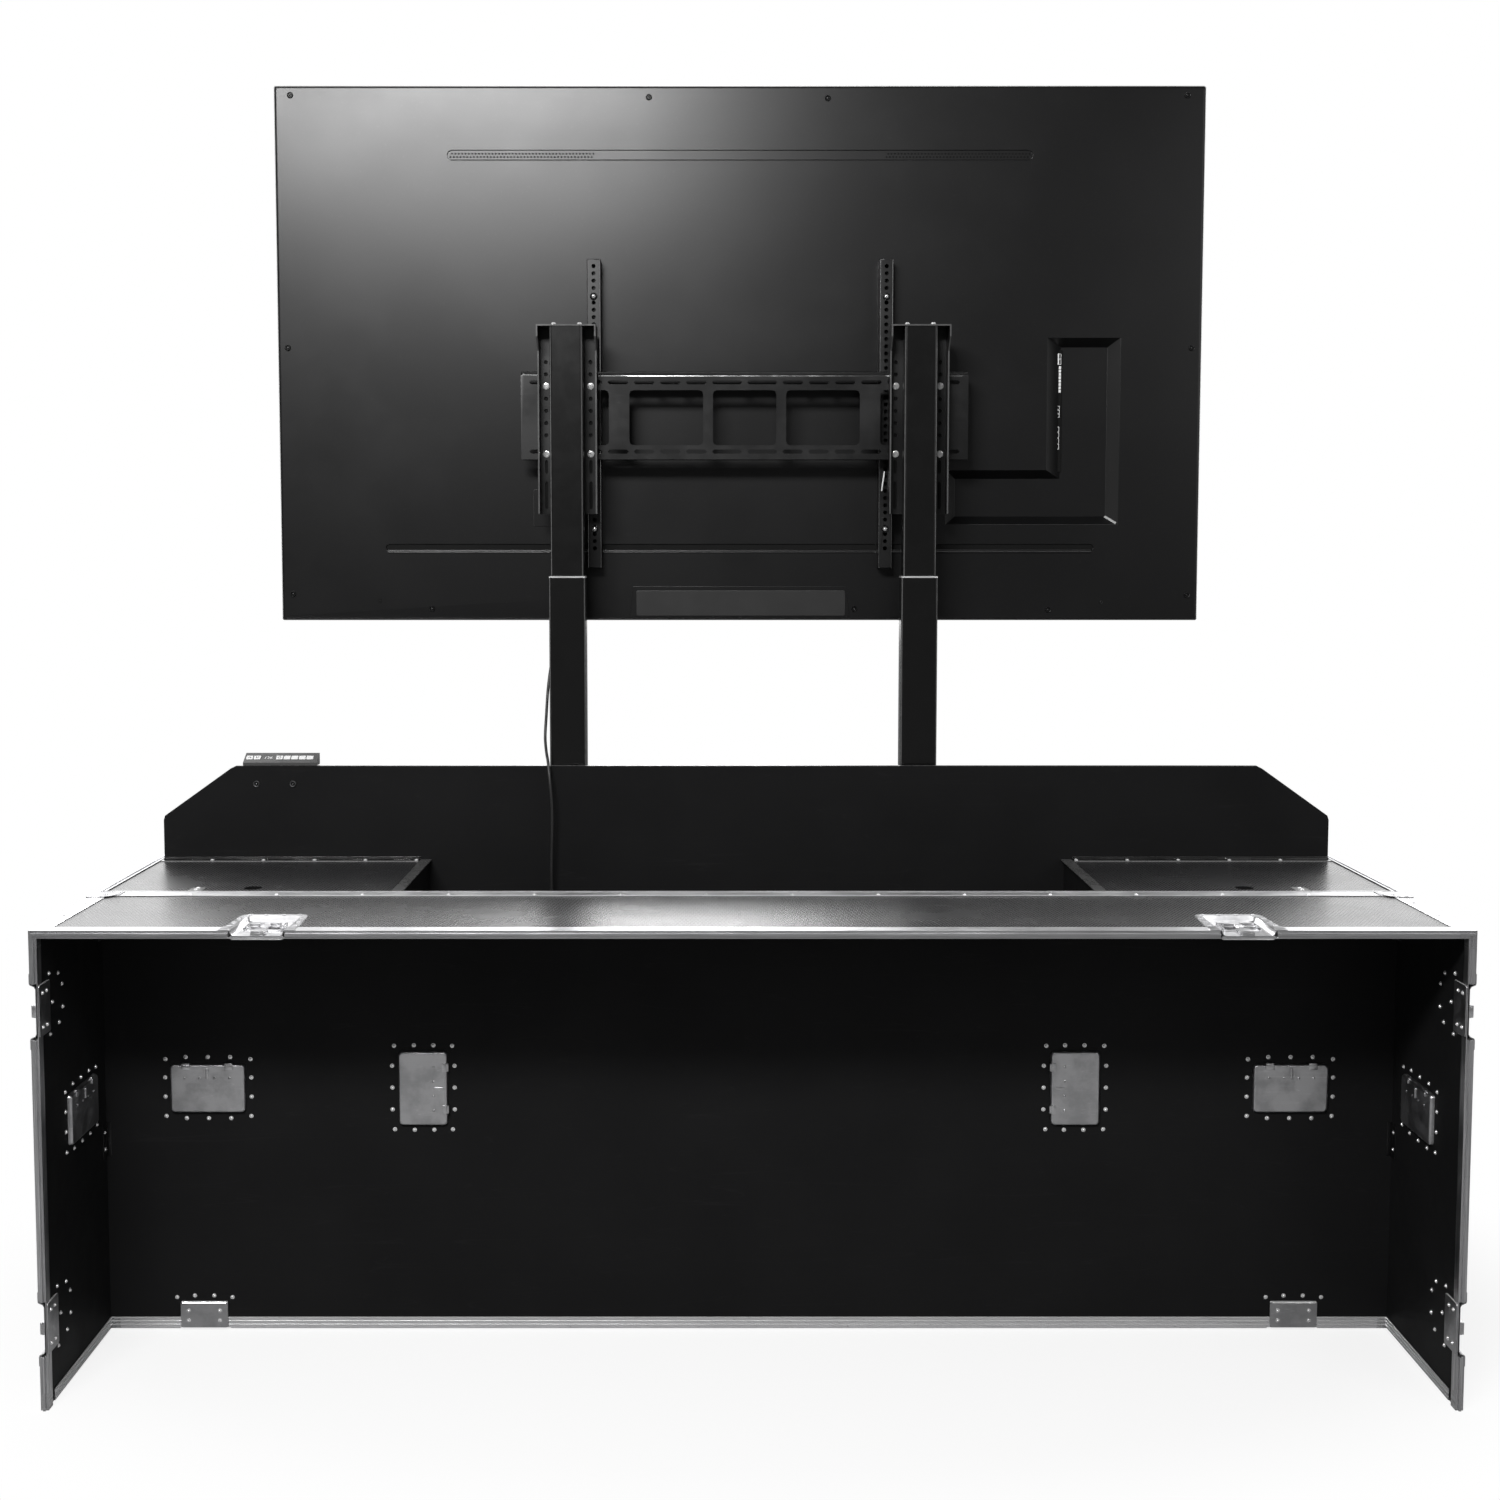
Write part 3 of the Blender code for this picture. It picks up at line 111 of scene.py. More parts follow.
def remap(tree, value, low, high, out_low=0.0, out_high=1.0, kind="LINEAR"):
    numbers = enumerate((value, low, high, out_low, out_high))
    return add(tree, "ShaderNodeMapRange", numbers, interpolation_type=kind).outputs["Result"]


def blend(tree, mask, first, second, kind="RGBA"):
    """Colours, or with kind VECTOR places, mixed by a mask."""
    node = add(tree, "ShaderNodeMix", {0: mask}, data_type=kind)
    pair = [i for i, socket in enumerate(node.inputs) if socket.type == kind][-2:]
    for i, value in zip(pair, (first, second)):
        if isinstance(value, bpy.types.NodeSocket):
            tree.links.new(value, node.inputs[i])
        else:
            node.inputs[i].default_value = (*value, 1)
    return next(socket for socket in node.outputs if socket.type == kind)


def split(tree, vector):
    return add(tree, "ShaderNodeSeparateXYZ", {0: vector}).outputs


def object_place(tree):
    return tree.nodes.new("ShaderNodeTexCoord").outputs["Object"]


def new_group(name, inputs, *outputs):
    """A shader group with its named inputs, and the sockets that its results are linked to."""
    group = bpy.data.node_groups.new(name, "ShaderNodeTree")
    for label, default in inputs.items():
        socket = group.interface.new_socket(label, in_out="INPUT", socket_type="NodeSocketFloat")
        socket.default_value = default
    for label in outputs:
        group.interface.new_socket(label, in_out="OUTPUT", socket_type="NodeSocketFloat")
    return group, group.nodes.new("NodeGroupInput").outputs, group.nodes.new("NodeGroupOutput").inputs


def give(group, out, **results):
    for label, socket in results.items():
        group.links.new(socket, out[label])
    return group


def marks_group():
    """Finger marks, dust and hair scratches, as three masks."""
    group, given, out = new_group("handling_marks", {"Size": 9.0, "Scratch": 60.0}, "Smudge", "Dust", "Hair")
    place = object_place(group)
    broad = noise(group, place, given["Size"], 4.0, 0.6)
    dust = noise(group, place, times(group, given["Size"], 55.0), 2.0, 0.7)
    skew = vector_math(group, "MULTIPLY", place, (0.06, 0.35, 1.35))
    hair = noise(group, skew, given["Scratch"], 1.0, 0.4)
    near = arithmetic(group, "ABSOLUTE", arithmetic(group, "SUBTRACT", hair, 0.5))
    return give(group, out, Smudge=remap(group, broad, 0.38, 0.68, kind="SMOOTHSTEP"),
                Dust=remap(group, dust, 0.62, 0.80), Hair=remap(group, near, 0.0, 0.006, 1.0, 0.0))


def hex_group():
    """The hexagons pressed into the phenolic film, laid flat on whichever way a face points."""
    group, given, out = new_group("hex_film", {"Pitch": 0.006, "Line": 0.16}, "Line")
    coords = group.nodes.new("ShaderNodeTexCoord").outputs
    x, y, z = split(group, coords["Object"])
    facing = split(group, coords["Normal"])

    def flat(a, b):
        return add(group, "ShaderNodeCombineXYZ", {0: a, 1: b}).outputs[0]

    tall, wide = (arithmetic(group, "GREATER_THAN", arithmetic(group, "ABSOLUTE", facing[i]), 0.7) for i in (2, 1))
    plane = blend(group, tall, blend(group, wide, flat(y, z), flat(x, z), "VECTOR"), flat(x, y), "VECTOR")
    fine = arithmetic(group, "DIVIDE", 1.0, given["Pitch"])
    plane = add(group, "ShaderNodeVectorMath", {0: plane, "Scale": fine}, operation="SCALE").outputs[0]
    half = (0.5, math.sqrt(3) / 2, 1.0)
    minus = tuple(-v for v in half)
    wraps = (vector_math(group, "WRAP", v, half, minus)
             for v in (plane, vector_math(group, "SUBTRACT", plane, half)))
    first, second = (vector_math(group, "MULTIPLY", v, (1.0, 1.0, 0.0)) for v in wraps)
    nearer = arithmetic(group, "LESS_THAN", *(vector_math(group, "LENGTH", v) for v in (second, first)))
    cell = vector_math(group, "ABSOLUTE", blend(group, nearer, first, second, "VECTOR"))
    slant = vector_math(group, "DOT_PRODUCT", cell, (*half[:2], 0.0))
    reach = arithmetic(group, "MAXIMUM", slant, split(group, cell)[0])
    edge = arithmetic(group, "SUBTRACT", 0.5, reach)
    return give(group, out, Line=remap(group, edge, 0.0, given["Line"], 1.0, 0.0, "SMOOTHSTEP"))


def drawn_group():
    """The fine lines an extrusion keeps from its die, along whichever way it runs."""
    group, given, out = new_group("drawn_lines", {"Fineness": 700.0}, "Lines", "Bloom", "Upright")
    place = object_place(group)
    x, _, z = split(group, place)
    # The runs at the case's ends: their die lines run another way, and the extrusion finish paints them a darker grey
    # as painted shade.
    shaded_upright = arithmetic(group, "GREATER_THAN", arithmetic(group, "ABSOLUTE", x), HALF_WIDTH - LEG)
    level, standing, inward = (vector_math(group, "MULTIPLY", place, stretch)
                               for stretch in ((0.01, 1.0, 1.0), (1.0, 0.25, 0.01), (1.0, 0.01, 1.0)))
    ends = arithmetic(group, "MAXIMUM", arithmetic(group, "GREATER_THAN", z, CASE_TOP - LEG),
                      arithmetic(group, "LESS_THAN", z, LEG))
    along = blend(group, shaded_upright, level, blend(group, ends, standing, inward, "VECTOR"), "VECTOR")
    return give(group, out, Lines=noise(group, along, given["Fineness"], 2.0, 0.6),
                Bloom=noise(group, place, 14.0, 4.0, 0.6), Upright=shaded_upright)


def grit_group():
    """Powder coat or moulded texture: a soft peel with a finer grit on it."""
    group, given, out = new_group("grit", {"Peel": 260.0, "Grit": 1400.0}, "Height", "Shade")
    place = object_place(group)
    peel, grit = noise(group, place, given["Peel"], 2.0, 0.5), noise(group, place, given["Grit"], 1.0, 0.5)
    return give(group, out, Height=arithmetic(group, "MULTIPLY_ADD", grit, 0.45, peel),
                Shade=noise(group, place, 5.0, 3.0, 0.5))


GROUPS = {"marks": marks_group(), "hex": hex_group(), "drawn": drawn_group(), "grit": grit_group()}


def placed(tree, group, *values):
    return add(tree, "ShaderNodeGroup", enumerate(values), node_tree=GROUPS[group]).outputs


def grey(value, tint=0.0):
    return value, value, value + tint


def finished(name, made, metallic=0.0, specular=0.5):
    """A material from what made(tree) gives: its colour, roughness, height, and the bump's strength and depth."""
    material = bpy.data.materials.new(name)
    material.use_nodes = True
    tree = material.node_tree
    colour, rough, height, strength, depth = made(tree)
    inputs = tree.nodes["Principled BSDF"].inputs
    inputs["Metallic"].default_value, inputs["Specular IOR Level"].default_value = metallic, specular
    bump = add(tree, "ShaderNodeBump", {"Height": height, "Strength": strength, "Distance": depth})
    for label, socket in (("Base Color", colour), ("Roughness", rough), ("Normal", bump.outputs["Normal"])):
        tree.links.new(socket, inputs[label])
    return material


def laminate(tree):
    film, marks = placed(tree, "hex", 0.0068, 0.20), placed(tree, "marks", 6.0)
    base = blend(tree, marks["Smudge"], grey(0.013, 0.001), grey(0.016, 0.001))
    lit = blend(tree, film["Line"], base, grey(0.031, 0.001))
    dusty = blend(tree, times(tree, marks["Dust"], 0.25), lit, grey(0.16))
    rough = arithmetic(tree, "MULTIPLY_ADD", film["Line"], 0.10, remap(tree, marks["Smudge"], 0.0, 1.0, 0.25, 0.28))
    height = arithmetic(tree, "MULTIPLY_ADD", marks["Smudge"], 0.04, film["Line"])
    return dusty, rough, height, 0.42, 0.0003


def aluminium(name, dark, pale, shaded_upright, line):
    """Mill-finish extrusion: blooms and die lines, a darker grey painted on the runs at the case's ends as painted
    shade, a few scratches.
    """
    def made(tree):
        drawn, marks = placed(tree, "drawn"), placed(tree, "marks", 11.0, 90.0)
        level = blend(tree, drawn["Bloom"], grey(dark, 0.01), grey(pale, 0.01))
        base = blend(tree, drawn["Upright"], level, grey(shaded_upright, 0.01))
        lines = blend(tree, remap(tree, drawn["Lines"], 0.3, 0.7), base, grey(line, 0.01))
        worn = blend(tree, times(tree, marks["Hair"], 0.35), lines, grey(0.30, 0.01))
        rough = remap(tree, drawn["Lines"], 0.2, 0.8, 0.28, 0.36)
        rough = arithmetic(tree, "MULTIPLY_ADD", marks["Smudge"], 0.08, rough)
        return worn, rough, drawn["Lines"], 0.18, 0.0001
    return finished(name, made, metallic=1.0)


def zinc(name, dark, pale, worn):
    """Zinc-plated sheet with dull finger marks."""
    def made(tree):
        marks, grit = placed(tree, "marks", 26.0, 70.0), placed(tree, "grit", 120.0)
        base = blend(tree, marks["Smudge"], grey(pale, 0.01), grey(dark, 0.01))
        marked = blend(tree, times(tree, marks["Hair"], 0.3), base, grey(worn, 0.01))
        return marked, remap(tree, marks["Smudge"], 0.0, 1.0, 0.30, 0.46), grit["Height"], 0.12, 0.0002
    return finished(name, made, metallic=1.0)


def coated(name, dark, pale, low, high, metallic=0.0, specular=0.5, marks=(30.0,), grit=(500.0,), hair=None,
           dust=(0.08, 0.3), bump=0.2, depth=0.0001):
    """A painted, moulded or plated surface: shaded grit, hair scratches where it has them, and dust."""
    def made(tree):
        mark, coat = placed(tree, "marks", *marks), placed(tree, "grit", *grit)
        colour = blend(tree, coat["Shade"], dark, pale)
        for label, layer in (("Hair", hair), ("Dust", dust)):
            if layer:
                colour = blend(tree, times(tree, mark[label], layer[0]), colour, grey(layer[1]))
        return colour, remap(tree, mark["Smudge"], 0.0, 1.0, low, high), coat["Height"], bump, depth
    return finished(name, made, metallic, specular)


MATERIALS = {
    "laminate": finished("laminate", laminate, specular=0.55),
    "inside_board": coated("inside_board", grey(0.0070, 0.0003), grey(0.0110, 0.0003), 0.46, 0.62, specular=0.06,
                           marks=(4.0, 35.0), grit=(90.0, 900.0), hair=(0.03, 0.09), dust=(0.012, 0.2), bump=0.10),
    "aluminium": aluminium("aluminium", 0.58, 0.76, 0.34, 0.82),
    "rim_front_shade": aluminium("rim_front_shade", 0.32, 0.46, 0.30, 0.62),
    "foot_rim_lit": aluminium("foot_rim_lit", 0.80, 0.94, 0.36, 0.96),
    "zinc_steel": zinc("zinc_steel", 0.40, 0.50, 0.75),
    "bright_zinc": zinc("bright_zinc", 0.42, 0.58, 0.92),
    "black_steel": coated("black_steel", grey(0.0024, 0.0002), grey(0.0042, 0.0002), 0.28, 0.38, specular=0.45,
                          marks=(7.0, 45.0), grit=(420.0, 1900.0), hair=(0.06, 0.12), dust=(0.03, 0.25), bump=0.22,
                          depth=0.00008),
    "tv_plastic": coated("tv_plastic", grey(0.0032, 0.0002), grey(0.0046, 0.0002), 0.29, 0.32, specular=0.38,
                         marks=(3.0, 30.0), grit=(900.0, 2600.0), dust=(0.02, 0.3), depth=0.00005),
    "tv_glass": coated("tv_glass", grey(0.004), grey(0.006, 0.001), 0.085, 0.095, bump=0.0),
}
for finish, dark, pale, low, high, more in (
        ("keypad_plastic", 0.035, 0.055, 0.42, 0.55, {}),
        ("button_white", 0.66, 0.76, 0.35, 0.45, {}),
        ("lead_black", 0.010, 0.018, 0.42, 0.6, {"grit": (300.0,)}),
        ("ply_edge", 0.05, 0.11, 0.5, 0.7, {"grit": (200.0,), "bump": 0.5}),
        ("button_mark", 0.03, 0.05, 0.5, 0.6, {}),
        ("display_glass", 0.02, 0.03, 0.10, 0.18, {"bump": 0.0}),
        # port_black_and_shade: black for the sockets and screw cores, also dark discs and faces painted where holes,
        # vents and grooves have only shade
        ("port_black_and_shade", 0.004, 0.007, 0.5, 0.65, {"specular": 0.08}),
        ("column_paint", 0.0022, 0.0032, 0.22, 0.24, {"specular": 0.45, "bump": 0.06}),
        # cover_plastic_and_lit_wall: the foot cover's moulding, also painted on the terminal recess's side walls as
        # painted light
        ("cover_plastic_and_lit_wall", 0.016, 0.021, 0.35, 0.38, {"bump": 0.1}),
        ("worn_edge", 0.20, 0.32, 0.26, 0.38, {"metallic": 0.4, "bump": 0.1}),
        # bright_rivet_and_highlight: bright metal for rivets, screws and collars, also painted on plate edges, strips
        # and beads as painted highlights
        ("bright_rivet_and_highlight", 0.70, 0.86, 0.16, 0.26, {"metallic": 0.6, "bump": 0.05}),
        # hinge_steel_and_highlight: bare steel for the hinges, also painted on bends, edges and beads as painted
        # highlights
        ("hinge_steel_and_highlight", 0.16, 0.24, 0.16, 0.26, {"metallic": 1.0, "bump": 0.08}),
        # edge_grey_and_highlight: a grey for board edges, also painted on edges, bevels and thin strips as painted
        # highlight lines
        ("edge_grey_and_highlight", 0.05, 0.09, 0.24, 0.36, {"grit": (200.0,)}),
        ("grip_rubber", 0.012, 0.02, 0.6, 0.75, {"grit": (350.0,)})):
    MATERIALS[finish] = coated(finish, grey(dark), grey(pale), low, high, **more)


# Shapes: a shape is a list of points and a list of faces
def rounded(half_a, half_b, radius, steps=4, centre=(0.0, 0.0)):
    found = []
    for quarter, (sa, sb) in enumerate(((1, 1), (-1, 1), (-1, -1), (1, -1))):
        for i in range(steps + 1):
            turn = math.pi / 2 * (quarter + i / steps)
            found.append((centre[0] + sa * (half_a - radius) + radius * math.cos(turn),
                          centre[1] + sb * (half_b - radius) + radius * math.sin(turn)))
    return found


def circle(radius, sides):
    turns = (2 * math.pi * i / sides for i in range(sides))
    return [(radius * math.cos(turn), radius * math.sin(turn)) for turn in turns]


def ring_of(outline, z):
    return [(a, b, z) for a, b in outline]


def band(count, first, second):
    """Faces between two closed rings of points, each given by its first point's number."""
    after = [(j + 1) % count for j in range(count)]
    return [(first + j, first + k, second + k, second + j) for j, k in enumerate(after)]


def loft_shape(rings, closed_start=True, closed_end=True, joined_up=False):
    """Skin through rings of equal count, each a closed loop of points."""
    n, points = len(rings[0]), [tuple(p) for ring in rings for p in ring]
    faces = [face for i in range(len(rings) - 1) for face in band(n, i * n, (i + 1) * n)]
    if joined_up:
        return points, faces + band(n, 0, len(points) - n)
    if closed_start:
        faces.append(tuple(reversed(range(n))))
    if closed_end:
        faces.append(tuple(range(len(points) - n, len(points))))
    return points, faces


def prism_shape(outline, low, high):
    points, faces = loft_shape([ring_of(outline, low), ring_of(outline, high)])
    return points, faces[-2:] + faces[:-2]


def box_shape(low, high):
    (x0, y0, z0), (x1, y1, z1) = low, high
    return prism_shape([(x0, y0), (x1, y0), (x1, y1), (x0, y1)], z0, z1)


def turned(shape, order):
    """The shape with its axes taken in another order."""
    return [tuple(p[i] for i in order) for p in shape[0]], shape[1]


def placed_shape(shape, matrix):
    return [tuple(matrix @ Vector(p)) for p in shape[0]], shape[1]


def joined(*shapes):
    points, faces = [], []
    for more_points, more_faces in shapes:
        faces += [tuple(i + len(points) for i in face) for face in more_faces]
        points += list(more_points)
    return points, faces


def swept(path, radii, sides):
    """A round skin along a path in space, closed at both ends."""
    path = [Vector(p) for p in path]
    along = [(b - a).normalized() for a, b in zip(path, path[1:])]
    along = [along[0]] + [(a + b).normalized() for a, b in zip(along, along[1:])] + [along[-1]]
    side = along[0].cross(Vector(UP))
    side = side.normalized() if side.length > 0.1 else Vector((1, 0, 0))
    rings = []
    for point, direction, radius in zip(path, along, radii):
        side = (side - direction * side.dot(direction)).normalized()
        up = direction.cross(side)
        rings.append([point + side * a + up * b for a, b in circle(radius, sides)])
    return loft_shape(rings)


def lathe(profile, sides):
    """A closed turned shape about Z from (radius, height) pairs, top first."""
    return loft_shape([ring_of(circle(radius, sides), height) for radius, height in profile])


def facet(start, end, normal, width):
    """A thin strip from start to end that faces as near to the normal as it can."""
    start, end, normal = Vector(start), Vector(end), Vector(normal)
    along = (end - start).normalized()
    up = (normal - along * normal.dot(along)).normalized()
    side, sink = along.cross(up) * (width / 2), up * -0.0012
    ring = [start + side, start - side, start - side + sink, start + side + sink]
    return loft_shape([ring, [p + (end - start) for p in ring]])


# Meshes and pieces
def reworked(mesh, change):
    """The mesh after change(work) on it in mesh code."""
    work = bmesh.new()
    work.from_mesh(mesh)
    change(work)
    work.to_mesh(mesh)
    work.free()
    return mesh


def welded(mesh):
    def change(work):
        bmesh.ops.remove_doubles(work, verts=work.verts, dist=1e-6)
        bmesh.ops.recalc_face_normals(work, faces=work.faces)
    return reworked(mesh, change)


def mesh_from(name, *shapes):
    points, faces = joined(*shapes)
    mesh = bpy.data.meshes.new(name)
    mesh.from_pydata(points, [], faces)
    return welded(mesh)


def scratch_object(data):
    obj = bpy.data.objects.new("scratch", data)
    bpy.context.scene.collection.objects.link(obj)
    return obj


def plain_mesh(obj, *helpers):
    """What the object's modifiers make, as a mesh; the object and its helpers are removed."""
    evaluated = obj.evaluated_get(bpy.context.evaluated_depsgraph_get())
    result = bpy.data.meshes.new_from_object(evaluated)
    for scratch in (obj, *helpers):
        bpy.data.objects.remove(scratch, do_unlink=True)
    return result


def worked(mesh, kind, *helpers, **settings):
    """The mesh with one modifier applied."""
    obj = scratch_object(mesh)
    modifier = obj.modifiers.new(kind, kind)
    for name, value in settings.items():
        setattr(modifier, name, value)
    return plain_mesh(obj, *helpers)


def cut_mesh(mesh, *shapes):
    cutter = scratch_object(mesh_from("cutter", *shapes))
    return worked(mesh, "BOOLEAN", cutter, operation="DIFFERENCE", solver="EXACT", object=cutter)


def bevelled(mesh, width, segments=2):
    return worked(mesh, "BEVEL", width=width, segments=segments, limit_method="ANGLE",
                  angle_limit=math.radians(40), use_clamp_overlap=True, harden_normals=False)


def soften(mesh):
    """Smooth faces, with the edges kept sharp where they turn more than 35 degrees."""
    def change(work):
        for face in work.faces:
            face.smooth = True
        for edge in work.edges:
            edge.smooth = len(edge.link_faces) == 2 and edge.calc_face_angle(0.0) < math.radians(35)
    return reworked(mesh, change)


def evened(mesh):
    """The mesh with each corner's normal led by its largest faces, so that flat faces shade flat."""
    return worked(soften(mesh), "WEIGHTED_NORMAL", keep_sharp=True, weight=100)


def clean_copy(node):
    """A CAD node's mesh as whole flat faces in the row frame."""
    def change(work):
        bmesh.ops.remove_doubles(work, verts=work.verts, dist=1e-6)
        bmesh.ops.dissolve_limit(work, angle_limit=math.radians(1), verts=work.verts, edges=work.edges,
                                 delimit=set())
    return reworked(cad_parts[node].data.copy(), change)


def rolled(mesh, bends):
    """The mesh with straight edges turned to round bends, each given as (where, radius)."""
    def change(work):
        for where, radius in bends:
            edges = [edge for edge in work.edges if all(where(corner.co) for corner in edge.verts)]
            bmesh.ops.bevel(work, geom=edges, offset=radius, offset_type="OFFSET", segments=5, profile=0.5,
                            affect="EDGES", clamp_overlap=False)
    return reworked(mesh, change)


def paint_faces(mesh, rule):
    for face in mesh.polygons:
        face.material_index = rule(face.center, face.normal)


def new_piece(name, mesh, finishes, body, smooth=True):
    """A finished piece: its materials, and the body it rides on."""
    obj = bpy.data.objects.new(name, mesh)
    bpy.context.scene.collection.objects.link(obj)
    kept = [face.material_index for face in mesh.polygons]
    mesh.materials.clear()
    for finish in finishes:
        mesh.materials.append(MATERIALS[finish])
    mesh.polygons.foreach_set("material_index", [min(i, len(finishes) - 1) for i in kept])
    if smooth:
        soften(mesh)
    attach(obj, body)
    return obj


def built(name, shapes, finishes, body, edge=(), rule=None, smooth=True, cuts=()):
    """A piece from shapes, with its edges bevelled and its faces painted where it says so."""
    mesh = mesh_from(name, *shapes)
    mesh = cut_mesh(mesh, *cuts) if cuts else mesh
    mesh = bevelled(mesh, *edge) if edge else mesh
    if rule:
        paint_faces(mesh, rule)
    return new_piece(name, mesh, finishes, body, smooth)


def dressed(node, finishes, body, rule=lambda centre, normal: 0, width=0.0004, segments=1, bends=(), cuts=()):
    """A CAD node's own shape with its hard edges broken, so that they catch the light."""
    mesh = clean_copy(node)
    mesh = cut_mesh(mesh, *cuts) if cuts else mesh
    mesh = bevelled(rolled(mesh, bends), width, segments)
    paint_faces(mesh, rule)
    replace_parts(new_piece(f"{node}_soft", evened(mesh), finishes, body, smooth=False), node)


# Geometry Nodes that set out what repeats
def node_tree(name, **inputs):
    tree = bpy.data.node_groups.new(name, "GeometryNodeTree")
    for way in ("INPUT", "OUTPUT"):
        tree.interface.new_socket("Geometry", in_out=way, socket_type="NodeSocketGeometry")
    for label, kind in inputs.items():
        tree.interface.new_socket(label, in_out="INPUT", socket_type=f"NodeSocket{kind}")
    return tree, tree.nodes.new("NodeGroupInput").outputs


def stood(tree, given, mesh, instance, rotation):
    """The end of each tree: an instance on every point of the mesh, made real and given its finish."""
    points = add(tree, "GeometryNodeMeshToPoints", {"Mesh": mesh})
    stand = add(tree, "GeometryNodeInstanceOnPoints",
                {"Points": points.outputs["Points"], "Instance": instance, "Rotation": rotation})
    real = add(tree, "GeometryNodeRealizeInstances", {"Geometry": stand.outputs["Instances"]})
    paint = add(tree, "GeometryNodeSetMaterial", {"Geometry": real.outputs["Geometry"],
                                                  "Material": given["Finish"]})
    add(tree, "NodeGroupOutput", {"Geometry": paint.outputs["Geometry"]})
    return tree


def heads_tree():
    """A head stood on every point, facing the way that the point's own vector says."""
    tree, given = node_tree("fastener_heads", Head="Object", Seed="Int", Turn="Float", Finish="Material")
    facing = add(tree, "GeometryNodeInputNamedAttribute", {"Name": "facing"}, data_type="FLOAT_VECTOR")
    align = add(tree, "FunctionNodeAlignRotationToVector", {"Vector": facing.outputs["Attribute"]}, axis="Z")
    chance = add(tree, "FunctionNodeRandomValue", {"Seed": given["Seed"]}, data_type="FLOAT")
    about = add(tree, "FunctionNodeAxisAngleToRotation",
                {"Axis": UP, "Angle": times(tree, chance.outputs[1], given["Turn"])})
    turn = add(tree, "FunctionNodeRotateRotation", {"Rotation": align.outputs["Rotation"],
                                                    "Rotate By": about.outputs["Rotation"]}, rotation_space="LOCAL")
    head = add(tree, "GeometryNodeObjectInfo", {"Object": given["Head"]})
    return stood(tree, given, given["Geometry"], head.outputs["Geometry"], turn.outputs["Rotation"])


def perforation_tree():
    """Two staggered rows of dark discs along a straight strip, painted shade where a vent's holes are."""
    tree, given = node_tree("vent_perforations", Count="Int", Pitch="Float", Gap="Float", Radius="Float",
                            Depth="Float", Start="Vector", Finish="Material")
    stub = add(tree, "GeometryNodeMeshCylinder",
               {"Vertices": 10, "Radius": given["Radius"], "Depth": given["Depth"]})
    gather = tree.nodes.new("GeometryNodeJoinGeometry")
    step = add(tree, "ShaderNodeCombineXYZ", {0: given["Pitch"]}).outputs[0]
    for row in (0, 1):
        shift = add(tree, "ShaderNodeCombineXYZ", {0: times(tree, given["Pitch"], -0.5 * row),
                                                   2: times(tree, given["Gap"], -float(row))}).outputs[0]
        start = vector_math(tree, "ADD", given["Start"], shift)
        line = add(tree, "GeometryNodeMeshLine", {"Count": given["Count"], "Start Location": start, "Offset": step})
        tree.links.new(line.outputs["Mesh"], gather.inputs["Geometry"])
    return stood(tree, given, gather.outputs["Geometry"], stub.outputs["Mesh"], (math.pi / 2, 0, 0))


HEADS, PERFORATIONS = heads_tree(), perforation_tree()


def grown(name, mesh, tree, values, finish, body, *helpers):
    """A piece that a tree makes on a mesh, turned to a plain mesh."""
    obj = scratch_object(mesh)
    modifier = obj.modifiers.new(name, "NODES")
    modifier.node_group = tree
    values["Finish"] = MATERIALS[finish]
    for item in tree.interface.items_tree:
        if item.in_out == "INPUT" and item.name in values:
            modifier[item.identifier] = values[item.name]
    result = plain_mesh(obj, *helpers)
    if "facing" in result.attributes:
        result.attributes.remove(result.attributes["facing"])
    return new_piece(name, result, [finish], body)


def set_out(name, spots, head, finish, body):
    """One mesh of heads, one at each (place, facing) spot."""
    mesh = bpy.data.meshes.new(name)
    mesh.from_pydata([tuple(place) for place, _ in spots], [], [])
    facing = mesh.attributes.new("facing", "FLOAT_VECTOR", "POINT")
    for item, (_, way) in zip(facing.data, spots):
        item.vector = way
    pattern = scratch_object(head)
    grown(name, mesh, HEADS, {"Head": pattern, "Seed": 3, "Turn": math.pi}, finish, body, pattern)


# Heads of the fasteners, turned about Z with their seat at 0, as shares of the radius and the height
HEAD_PROFILES = {
    "rivet": (12, ((0.16, 0.45), (0.24, 0.50), (0.30, 0.96), (0.55, 0.90), (0.82, 0.58), (1, 0.16), (1, -0.3))),
    "tail": (12, ((0.14, 1), (0.34, 0.94), (0.52, 0.76), (0.64, 0.46), (0.68, 0.20), (0.95, 0.16), (1, 0.06),
                  (1, -0.25))),
    "cross": (16, ((0.30, 1), (0.68, 0.93), (0.92, 0.62), (1, 0.2), (1, -0.3))),
    "cup": (18, ((0.10, 0.70), (0.28, 0.60), (0.40, 0.30), (0.44, 0.02), (0.52, 0.02), (0.72, 0.85), (0.82, 1),
                 (0.93, 0.7), (1, 0.2), (1, -0.3))),
}


def head(kind, radius, height, recess=0.5):
    """A pop rivet, a rivet's set tail, a pan head with a cross recess, or a domed screw in a cup washer."""
    sides, profile = HEAD_PROFILES[kind]
    mesh = mesh_from(kind, lathe([(r * radius, h * height) for r, h in profile], sides))
    if kind != "cross":
        return mesh
    arm, width = 0.62 * radius, 0.13 * radius
    plus = [(width, width), (width, arm), (-width, arm), (-width, width), (-arm, width), (-arm, -width),
            (-width, -width), (-width, -arm), (width, -arm), (width, -width), (arm, -width), (arm, width)]
    return cut_mesh(mesh, prism_shape(plus, height * (1 - recess), 2 * height))


